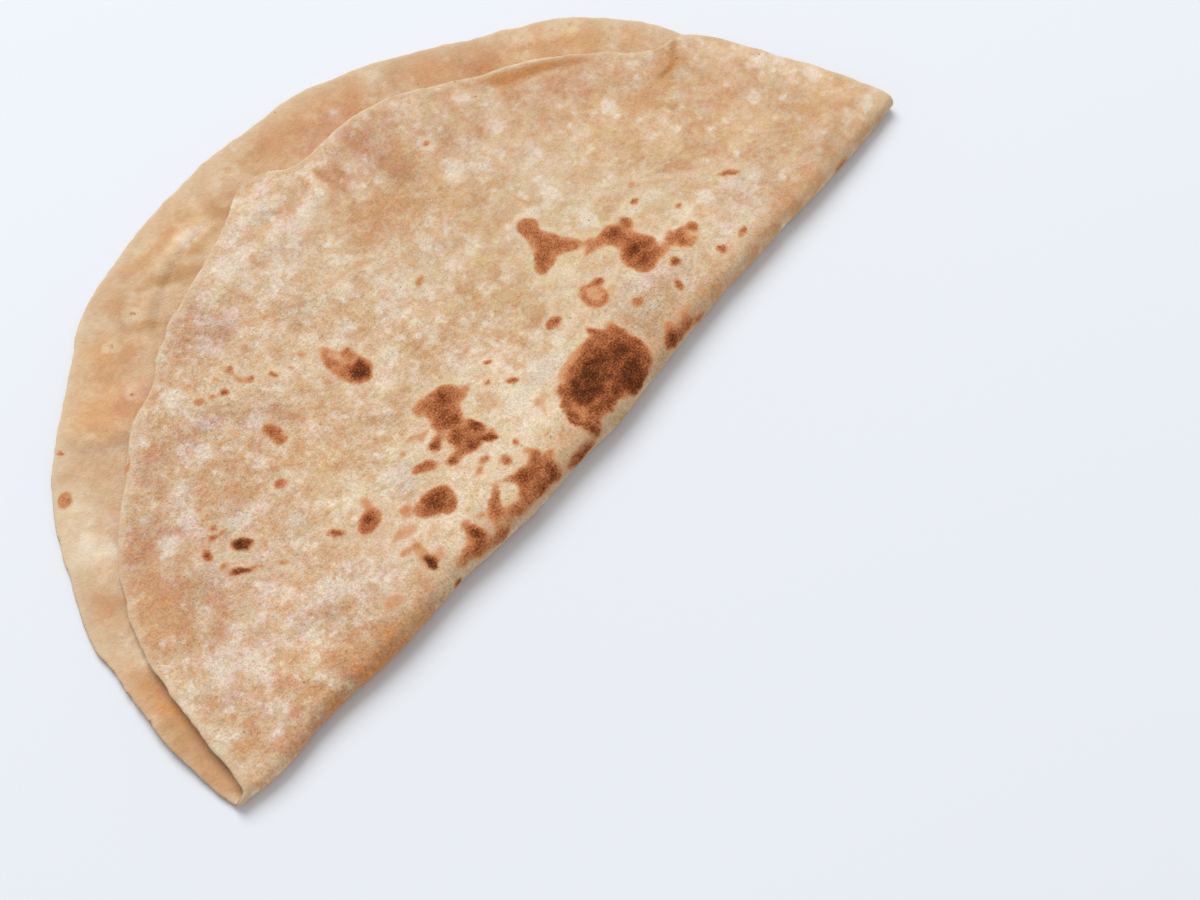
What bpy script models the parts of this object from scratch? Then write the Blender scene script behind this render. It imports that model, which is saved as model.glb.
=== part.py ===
"""A plain griddle-baked chapati, folded once in half and lying flat.

The bread is one sheet of dough. Its edge is drawn as it lies, seen from above, then unrolled
over the fold line to the flat round that it was rolled out as. The flat round is filled with
points and triangulated, rolled back over the fold, and given its thickness on both sides.

X runs along the fold, Y from the fold to the round edge and Z up. Lengths are in metres, and
the origin ends up under the middle of the folded bread, on what it lies on.
"""

import math

import bpy
import numpy as np
from mathutils.geometry import delaunay_2d_cdt

MM = 0.001

# The sheet
THICKNESS = 1.6 * MM          # over most of the bread
RIM_THICKNESS = 1.2 * MM      # just inside the rounded rim
RIM_TAPER = 9.0 * MM          # width over which the sheet thins towards the rim
RIM_ROUND = 1.0 * MM          # how far in from the edge the rim's rounding starts
EDGE_THICKNESS = 0.6 * MM     # the blunt outermost face of the rim

# The fold, from its left tip to its right one, in mm: each pair is an x and the value there
LAYER_GAP = 0.4 * MM          # between the two layers where the upper one has settled
FRONT_LINE = (                # Y of the foremost line of the fold, seen from above
    (-111.0, -0.7), (-100.0, -1.9), (-85.0, -1.6), (-65.0, -3.1), (-52.0, -2.8),
    (-22.0, -4.4), (-10.0, -4.0), (0.0, -4.6), (20.0, -3.1), (50.0, -1.9),
    (75.0, -2.1), (95.0, -1.8), (108.0, -1.2),
)
ROLL_RADIUS = (               # of the middle of the sheet, where it rolls over the fold
    (-111.0, 1.4), (-98.0, 1.8), (-65.0, 2.5), (-10.0, 2.9), (45.0, 2.6), (85.0, 2.1),
    (108.0, 1.4),
)
SETTLE_LENGTH = (             # run over which the upper layer comes down from the fold's crest
    (-111.0, 12.0), (-80.0, 26.0), (-20.0, 36.0), (40.0, 32.0), (108.0, 12.0),
)

# The edge of each half, seen from above, from the left tip of the fold to the right one, in mm.
# The round is rolled out by hand, so its edge has soft corners and no true arcs.
LOWER_EDGE = (
    (-111.5, 4.0), (-111.3, 15.0), (-109.7, 26.0), (-106.6, 38.0), (-105.0, 46.5),
    (-100.8, 54.3), (-92.5, 68.9), (-87.0, 76.2), (-81.0, 82.6), (-66.9, 92.7),
    (-52.5, 103.2), (-44.0, 106.5), (-27.5, 110.3), (-12.0, 111.7), (0.0, 111.3),
    (13.0, 109.9), (24.0, 108.6), (35.4, 104.4), (48.0, 97.0), (60.0, 88.6),
    (76.5, 77.2), (83.0, 71.0), (88.5, 64.2), (92.3, 57.0), (95.0, 46.0),
    (100.6, 28.0), (105.3, 12.0), (107.2, 4.0),
)
UPPER_EDGE = (
    (-108.6, 0.8), (-107.2, 5.0), (-105.4, 15.6), (-102.8, 26.6), (-98.6, 40.0),
    (-91.5, 51.3), (-84.3, 59.1), (-72.0, 69.0), (-63.0, 75.6), (-55.0, 78.2),
    (-47.5, 83.6), (-36.9, 88.3), (-21.3, 92.9), (-13.7, 95.6), (-8.0, 99.2),
    (-2.5, 100.6), (3.0, 98.8), (7.5, 94.8), (20.4, 93.7), (31.0, 91.9),
    (40.0, 87.7), (54.5, 77.9), (65.0, 71.4), (75.5, 61.5), (84.0, 52.5),
    (91.5, 49.6), (95.5, 45.0), (100.0, 34.0), (102.6, 26.0), (106.2, 15.5), (107.9, 6.0),
)
LEFT_TIP = (-111.2, 0.0)      # on the fold line of the flat round, in mm
RIGHT_TIP = (108.3, 0.0)

# Soft oval swells of each layer, in mm: centre x and y, half-length, half-width, turn of the
# length from the X axis in degrees, and rise.
LOWER_SWELLS = (
    (-110.0, 22.0, 16.0, 7.0, 80.0, 0.8),
    (-70.0, 92.0, 24.0, 8.0, 36.0, 1.0),
    (2.0, 112.0, 26.0, 8.0, 0.0, 0.7),
    (72.0, 82.0, 22.0, 8.0, -40.0, 1.1),
)
UPPER_SWELLS = (
    (-107.0, 18.0, 20.0, 8.0, 78.0, 1.4),
    (-72.0, 69.0, 14.0, 7.0, 40.0, 0.7),
    (-24.0, 92.0, 16.0, 7.0, 16.0, 0.7),
    (28.0, 92.0, 12.0, 6.0, -14.0, 0.6),
    (63.0, 72.0, 11.0, 5.0, -40.0, 1.5),
    (-58.0, 38.0, 26.0, 15.0, 20.0, 0.7),
    (24.0, 52.0, 30.0, 17.0, -15.0, 0.8),
    (84.0, 26.0, 18.0, 14.0, 70.0, 0.6),
)

# The mesh
RIM_SPACING = 5.0 * MM        # between points along the rim
TIP_SPACING = 1.1 * MM        # and where the rim runs round the fold
TIP_REACH = 7.0 * MM          # how far from the fold line the rim's points stay dense
FIELD_SPACING = 7.0 * MM      # between points away from the rim and the fold
ROLL_ROWS = 13                # rows of points round the fold
SPLINE_STEPS = 24             # fine steps between two drawn points of the edge
RINGS = (0.0, RIM_ROUND, 3.5 * MM)   # loops of points, by their distance in from the edge

DOUGH_COLOUR = (0.62, 0.40, 0.22, 1.0)
DOUGH_ROUGHNESS = 0.8


def clear_scene():
    """Remove every object that is already in the file."""
    for item in list(bpy.data.objects):
        bpy.data.objects.remove(item, do_unlink=True)


def fade(share):
    """Fall smoothly from 1 at a share of 0 to 0 at a share of 1."""
    share = np.clip(share, 0.0, 1.0)
    return 1.0 - share * share * (3.0 - 2.0 * share)


def along_fold(profile, x):
    """Read a profile of (x, value) pairs in mm at each x, with a smooth curve between them."""
    knots, values = (np.array(profile) * MM).T
    slopes = np.gradient(values, knots)
    left = np.clip(np.searchsorted(knots, x) - 1, 0, len(knots) - 2)
    width = knots[left + 1] - knots[left]
    share = np.clip((x - knots[left]) / width, 0.0, 1.0)
    rising = 1.0 - fade(share)
    bulge = share * (1.0 - share)
    level = values[left] + (values[left + 1] - values[left]) * rising
    lean = slopes[left] * (1.0 - share) - slopes[left + 1] * share
    return level + bulge * lean * width


def roll_radius(x):
    """Radius of the middle of the sheet round the fold."""
    return along_fold(ROLL_RADIUS, x)


def fold_front(x):
    """Y of the foremost line of the middle of the sheet."""
    return along_fold(FRONT_LINE, x) + THICKNESS / 2


def unroll(edge, side):
    """Turn edge points seen from above into points of the flat round.

    Side is 1 for the upper half and -1 for the lower one.
    """
    x, y = (np.array(edge) * MM).T
    past_quarter_turn = y - fold_front(x) - roll_radius(x)
    return np.column_stack((x, side * (past_quarter_turn + roll_radius(x) * math.pi / 2)))


def smooth_loop(corners):
    """A fine closed Catmull-Rom curve through the corners."""
    before = np.roll(corners, 1, axis=0)
    after = np.roll(corners, -1, axis=0)
    beyond = np.roll(corners, -2, axis=0)
    step = np.linspace(0.0, 1.0, SPLINE_STEPS, endpoint=False)[:, None, None]
    curve = 0.5 * (
        2.0 * corners
        + (after - before) * step
        + (2.0 * before - 5.0 * corners + 4.0 * after - beyond) * step ** 2
        + (3.0 * corners - before - 3.0 * after + beyond) * step ** 3
    )
    return curve.transpose(1, 0, 2).reshape(-1, 2)


def flat_edge():
    """The flat round's edge as a fine loop, anticlockwise from the fold's right tip."""
    return smooth_loop(np.vstack((
        np.array([RIGHT_TIP]) * MM,
        unroll(UPPER_EDGE, 1)[::-1],
        np.array([LEFT_TIP]) * MM,
        unroll(LOWER_EDGE, -1),
    )))


def inset(edge, x, v):
    """How far each point of the flat round lies in from the edge."""
    angles = np.arctan2(edge[:, 1], edge[:, 0])
    order = np.argsort(angles)
    reach = np.hypot(edge[:, 0], edge[:, 1])[order]
    edge_here = np.interp(np.arctan2(v, x), angles[order], reach, period=2.0 * math.pi)
    return edge_here - np.hypot(x, v)


def rim_points(edge):
    """Points along the edge, close together where it runs round the fold."""
    closed = np.vstack((edge, edge[:1]))
    steps = np.hypot(*np.diff(closed, axis=0).T)
    nearness = fade(np.abs(edge[:, 1]) / TIP_REACH - 1.0)
    spacing = RIM_SPACING + (TIP_SPACING - RIM_SPACING) * nearness
    run = np.concatenate(([0.0], np.cumsum(steps / spacing)))
    stops = np.linspace(0.0, run[-1], round(run[-1]), endpoint=False)
    return np.column_stack([np.interp(stops, run, closed[:, axis]) for axis in (0, 1)])


def ring_points(rim, distance):
    """The rim's points, moved in from the edge by a distance."""
    reach = np.hypot(*rim.T)[:, None]
    return rim * (reach - distance) / reach


def roll_points(edge):
    """Rows of points that follow the sheet round the fold."""
    turns = np.linspace(-1.0, 1.0, ROLL_ROWS)
    columns = np.arange(edge[:, 0].min(), edge[:, 0].max(), RIM_SPACING)
    x, turn = (grid.ravel() for grid in np.meshgrid(columns, turns))
    v = turn * roll_radius(x) * math.pi / 2
    inside = inset(edge, x, v) > RINGS[-1] + 0.2 * RIM_SPACING
    return np.column_stack((x, v))[inside]


def field_points(edge):
    """Staggered rows of points over both halves, clear of the fold and the rim."""
    row_step = FIELD_SPACING * math.sqrt(0.75)
    reach = np.abs(edge).max()
    rows = np.arange(-reach, reach, row_step)
    columns = np.arange(-reach, reach, FIELD_SPACING)
    x, v = np.meshgrid(columns, rows)
    x = x + 0.5 * FIELD_SPACING * (np.arange(len(rows)) % 2)[:, None]
    x, v = x.ravel(), v.ravel()
    clear_of_roll = np.abs(v) > roll_radius(x) * math.pi / 2 + 0.35 * FIELD_SPACING
    clear_of_rim = inset(edge, x, v) > RINGS[-1] + 0.5 * FIELD_SPACING
    return np.column_stack((x, v))[clear_of_roll & clear_of_rim]


def swell_height(swells, x, y):
    """Sum of soft oval swells at points seen from above."""
    height = np.zeros_like(x)
    for centre_x, centre_y, half_length, half_width, turn, rise in swells:
        cosine = math.cos(math.radians(turn))
        sine = math.sin(math.radians(turn))
        dx = x - centre_x * MM
        dy = y - centre_y * MM
        length_share = (dx * cosine + dy * sine) / (half_length * MM)
        width_share = (dy * cosine - dx * sine) / (half_width * MM)
        height += rise * MM * np.exp(-(length_share ** 2) - width_share ** 2)
    return height


def fold_over(x, v):
    """Place flat points on the folded middle surface of the sheet."""
    radius = roll_radius(x)
    turn = np.clip(v / radius, -math.pi / 2, math.pi / 2)
    past_roll = np.maximum(np.abs(v) - radius * math.pi / 2, 0.0)
    y = fold_front(x) + radius * (1.0 - np.cos(turn)) + past_roll

    still_rolled = fade(past_roll / along_fold(SETTLE_LENGTH, x))
    lower = THICKNESS / 2 + swell_height(LOWER_SWELLS, x, y) * (1.0 - still_rolled)
    layer_step = THICKNESS + LAYER_GAP
    upper = lower + layer_step + (2.0 * radius - layer_step) * still_rolled
    upper += swell_height(UPPER_SWELLS, x, y) * (1.0 - still_rolled)
    rolled = THICKNESS / 2 + radius * (1.0 + np.sin(turn))
    z = np.where(past_roll > 0.0, np.where(v > 0.0, upper, lower), rolled)
    return np.column_stack((x, y, z))


def outward(x, v):
    """Unit normals of the folded middle surface, towards the bread's outer side."""
    step = 0.05 * MM
    across_x = fold_over(x + step, v) - fold_over(x - step, v)
    across_v = fold_over(x, v + step) - fold_over(x, v - step)
    normal = np.cross(across_x, across_v)
    return normal / np.linalg.norm(normal, axis=1)[:, None]


def half_thickness(distance):
    """Half of the sheet's thickness at a distance in from the edge."""
    body = THICKNESS + (RIM_THICKNESS - THICKNESS) * fade(distance / RIM_TAPER)
    round_off = (body - EDGE_THICKNESS) * (1.0 - np.clip(distance / RIM_ROUND, 0.0, 1.0)) ** 2
    return 0.5 * (body - round_off)


def triangulate(points, rim_count):
    """Anticlockwise triangles inside the loop of the first rim_count points."""
    flat = [tuple(point) for point in points.tolist()]
    corners, _, faces, origins, _, _ = delaunay_2d_cdt(flat, [], [range(rim_count)], 1, 1e-9)
    if len(corners) != len(flat):
        raise RuntimeError("two points of the sheet lie on each other")
    source = [origin[0] for origin in origins]
    triangles = np.array([[source[corner] for corner in face] for face in faces])
    a, b, c = (points[triangles[:, corner]] for corner in range(3))
    clockwise = np.cross(b - a, c - a) < 0.0
    triangles[clockwise] = triangles[clockwise][:, ::-1]
    return triangles


def build_sheet():
    """Points and faces of the folded bread, as one closed skin."""
    edge = flat_edge()
    rim = rim_points(edge)
    rings = [ring_points(rim, distance) for distance in RINGS]
    flat = np.vstack(rings + [roll_points(edge), field_points(edge)])
    triangles = triangulate(flat, len(rim))

    x, v = flat.T
    middle = fold_over(x, v)
    offset = outward(x, v) * half_thickness(np.maximum(inset(edge, x, v), 0.0))[:, None]
    points = np.vstack((middle + offset, middle - offset))

    inner = len(flat)
    faces = triangles.tolist() + (triangles[:, ::-1] + inner).tolist()
    for here in range(len(rim)):
        following = (here + 1) % len(rim)
        faces.append([following, here, here + inner])
        faces.append([following, here + inner, following + inner])
    return points, faces


def stand_on_origin(points):
    """Shift the points so that the origin is under the middle of their box."""
    low, high = points.min(axis=0), points.max(axis=0)
    return points - np.array([*(0.5 * (low + high))[:2], low[2]])


def dough_material():
    """Plain baked dough."""
    material = bpy.data.materials.new("baked_dough")
    material.use_nodes = True
    shader = material.node_tree.nodes["Principled BSDF"]
    shader.inputs["Base Color"].default_value = DOUGH_COLOUR
    shader.inputs["Roughness"].default_value = DOUGH_ROUGHNESS
    return material


def build_chapati():
    """The folded chapati as one object."""
    points, faces = build_sheet()
    mesh = bpy.data.meshes.new("folded_chapati")
    mesh.from_pydata(stand_on_origin(points).tolist(), [], faces)
    mesh.materials.append(dough_material())
    mesh.shade_smooth()
    chapati = bpy.data.objects.new("folded_chapati", mesh)
    bpy.context.scene.collection.objects.link(chapati)


clear_scene()
build_chapati()
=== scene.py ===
"""The looks of a griddle-baked chapati, folded once in half and lying flat.

The bread is one sheet of dough. Its edge is drawn as it lies, seen from above, and unrolled
over the fold line to the flat round that it was rolled out as. What the griddle and the hands
left on it (char, flour, honeyed stretches, blisters) is placed on that flat round, which is then
rolled back over the fold and given its swells and creases. X runs along the fold, Y from the fold
to the round edge and Z up. Sizes in tables are in mm; everything else is in metres.
"""

import math

import bpy
import numpy as np
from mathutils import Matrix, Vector
from mathutils.geometry import delaunay_2d_cdt


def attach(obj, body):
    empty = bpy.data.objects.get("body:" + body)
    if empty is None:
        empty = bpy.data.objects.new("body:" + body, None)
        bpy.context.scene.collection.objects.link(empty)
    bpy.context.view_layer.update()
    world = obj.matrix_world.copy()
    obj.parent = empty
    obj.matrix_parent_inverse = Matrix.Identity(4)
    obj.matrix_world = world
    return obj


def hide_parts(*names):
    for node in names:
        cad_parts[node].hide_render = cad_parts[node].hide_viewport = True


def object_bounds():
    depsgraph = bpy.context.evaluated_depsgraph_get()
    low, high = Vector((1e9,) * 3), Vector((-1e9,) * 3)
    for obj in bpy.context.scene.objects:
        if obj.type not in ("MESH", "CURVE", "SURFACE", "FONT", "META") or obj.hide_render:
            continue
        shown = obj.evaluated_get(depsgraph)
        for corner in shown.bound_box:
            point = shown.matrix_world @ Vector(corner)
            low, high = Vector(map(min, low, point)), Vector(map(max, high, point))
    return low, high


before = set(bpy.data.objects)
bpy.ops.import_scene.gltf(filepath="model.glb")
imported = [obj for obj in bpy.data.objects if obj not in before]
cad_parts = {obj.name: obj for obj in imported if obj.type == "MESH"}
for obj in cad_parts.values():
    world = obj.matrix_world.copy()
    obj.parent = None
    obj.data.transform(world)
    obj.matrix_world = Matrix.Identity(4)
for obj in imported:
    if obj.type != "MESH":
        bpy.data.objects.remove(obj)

bl_info = {
    "name": "Folded Chapati",
    "version": (1, 0, 0),
    "blender": (4, 5, 0),
    "location": "View3D > Sidebar > Chapati",
    "description": "Builds a folded chapati round its packed solid, and a plain stage for it",
    "category": "Add Mesh",
}

NODE = "folded_chapati"
CAD_LOW, CAD_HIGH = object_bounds()
MM = 0.001

# The fold, from its left tip to its right one: each pair is an x and the value there
FRONT_LINE = (                # Y of the foremost line of the fold, seen from above
    (-111, -0.7), (-100, -1.9), (-85, -1.6), (-65, -3.1), (-52, -2.8), (-22, -4.4), (-10, -4), (0, -4.6),
    (20, -3.1), (50, -1.9), (75, -2.1), (95, -1.8), (108, -1.2),
)
ROLL_RADIUS = (               # of the middle of the sheet, where it rolls over the fold
    (-111, 1.4), (-98, 1.8), (-65, 2.5), (-10, 2.9), (45, 2.6), (85, 2.1), (108, 1.4),
)
SETTLE_LENGTH = (             # run over which the upper layer comes down from the fold's crest
    (-111, 12), (-80, 26), (-20, 36), (40, 32), (108, 12),
)

# The edge of each half, seen from above, from the left tip of the fold to the right one
LOWER_EDGE = (
    (-111.5, 4), (-111.3, 15), (-109.7, 26), (-106.6, 38), (-105, 46.5), (-100.8, 54.3), (-92.5, 68.9),
    (-87, 76.2), (-81, 82.6), (-66.9, 92.7), (-52.5, 103.2), (-44, 106.5), (-27.5, 110.3), (-12, 111.7),
    (0, 111.3), (13, 109.9), (24, 108.6), (35.4, 104.4), (48, 97), (60, 88.6), (76.5, 77.2), (83, 71),
    (88.5, 64.2), (92.3, 57), (95, 46), (100.6, 28), (105.3, 12), (107.2, 4),
)
UPPER_EDGE = (
    (-108.6, 0.8), (-107.2, 5), (-105.4, 15.6), (-102.8, 26.6), (-98.6, 40), (-91.5, 51.3), (-84.3, 59.1),
    (-72, 69), (-63, 75.6), (-55, 78.2), (-47.5, 83.6), (-36.9, 88.3), (-21.3, 92.9), (-13.7, 95.6),
    (-8, 99.2), (-2.5, 100.6), (3, 98.8), (7.5, 94.8), (20.4, 93.7), (31, 91.9), (40, 87.7), (54.5, 77.9),
    (65, 71.4), (75.5, 61.5), (84, 52.5), (91.5, 49.6), (95.5, 45), (100, 34), (102.6, 26), (106.2, 15.5),
    (107.9, 6),
)
LEFT_TIP = (-111.2, 0.0)      # on the fold line of the flat round
RIGHT_TIP = (108.3, 0.0)

# Soft oval swells of each layer: centre x and y, half-length, half-width, turn of the length
# from the X axis in degrees, and rise
LOWER_SWELLS = (
    (-110, 22, 16, 7, 80, 0.8), (-70, 92, 24, 8, 36, 1), (2, 112, 26, 8, 0, 0.7),
    (72, 82, 22, 8, -40, 1.1),
)
UPPER_SWELLS = (
    (-107, 18, 20, 8, 78, 1.4), (-72, 69, 14, 7, 40, 0.7), (-24, 92, 16, 7, 16, 0.7),
    (28, 92, 12, 6, -14, 0.6), (-2.5, 99, 11, 6, 0, -0.9), (63, 72, 11, 5, -40, 0.4),
    (-58, 38, 26, 15, 20, 0.7), (24, 52, 30, 17, -15, 0.8), (84, 26, 18, 14, 70, 0.6),
)

# Where the upper layer was pressed thin at its rim: centre x and y, half-length, half-width, turn
PRESSED = (-2.5, 101, 12, 7, 0)
PRESSED_THIN = 0.70           # share of its thickness lost in the middle of it

# Folds and furrows that the whole sheet follows: points along each, half-width and rise
UPPER_CREASES = (
    (((51, 74.5), (57, 70.6), (62, 68.4), (67, 65.2), (74, 60)), 1.7, -0.4),
    (((77.5, 45.2), (81, 44.4), (84.5, 44.9), (87.5, 47.6), (92, 50.4)), 1, -0.4),
    (((-20, 85), (-8, 83.6), (2, 84.4), (7, 88)), 2.2, 0.45),
    (((-15, 90.8), (-5, 88.6), (4, 88)), 1.6, -0.35),
    (((8.8, 93.5), (9.4, 88), (9.8, 81)), 0.9, -0.5),
    (((79.5, 43.6), (84, 43), (88, 45.6), (92, 48.6)), 1.4, 0.7),
    (((78, 50), (83, 48), (88, 50.6)), 2.4, -0.5),
    (((-76, 63.5), (-72, 67.5), (-68, 71)), 1.3, -0.5),
    (((31, 90.2), (36, 88.3), (41, 85.8)), 0.9, -0.4),
    (((50, 30.5), (56, 26), (60, 22)), 0.7, -0.12),
    (((-49.2, 82.2), (-47.6, 82.3), (-46, 83.5), (-45, 85.4)), 0.55, 0.55),
)
LOWER_CREASES = (
    (((-7, 101.5), (-13, 97.6), (-20, 97.6), (-30, 95.2), (-38, 91), (-45, 86)),
     1.5, -0.6),
    (((-14, 101.5), (-25, 100.5), (-35, 97), (-44, 91), (-49, 84)), 1.6, 0.8),
)

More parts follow.
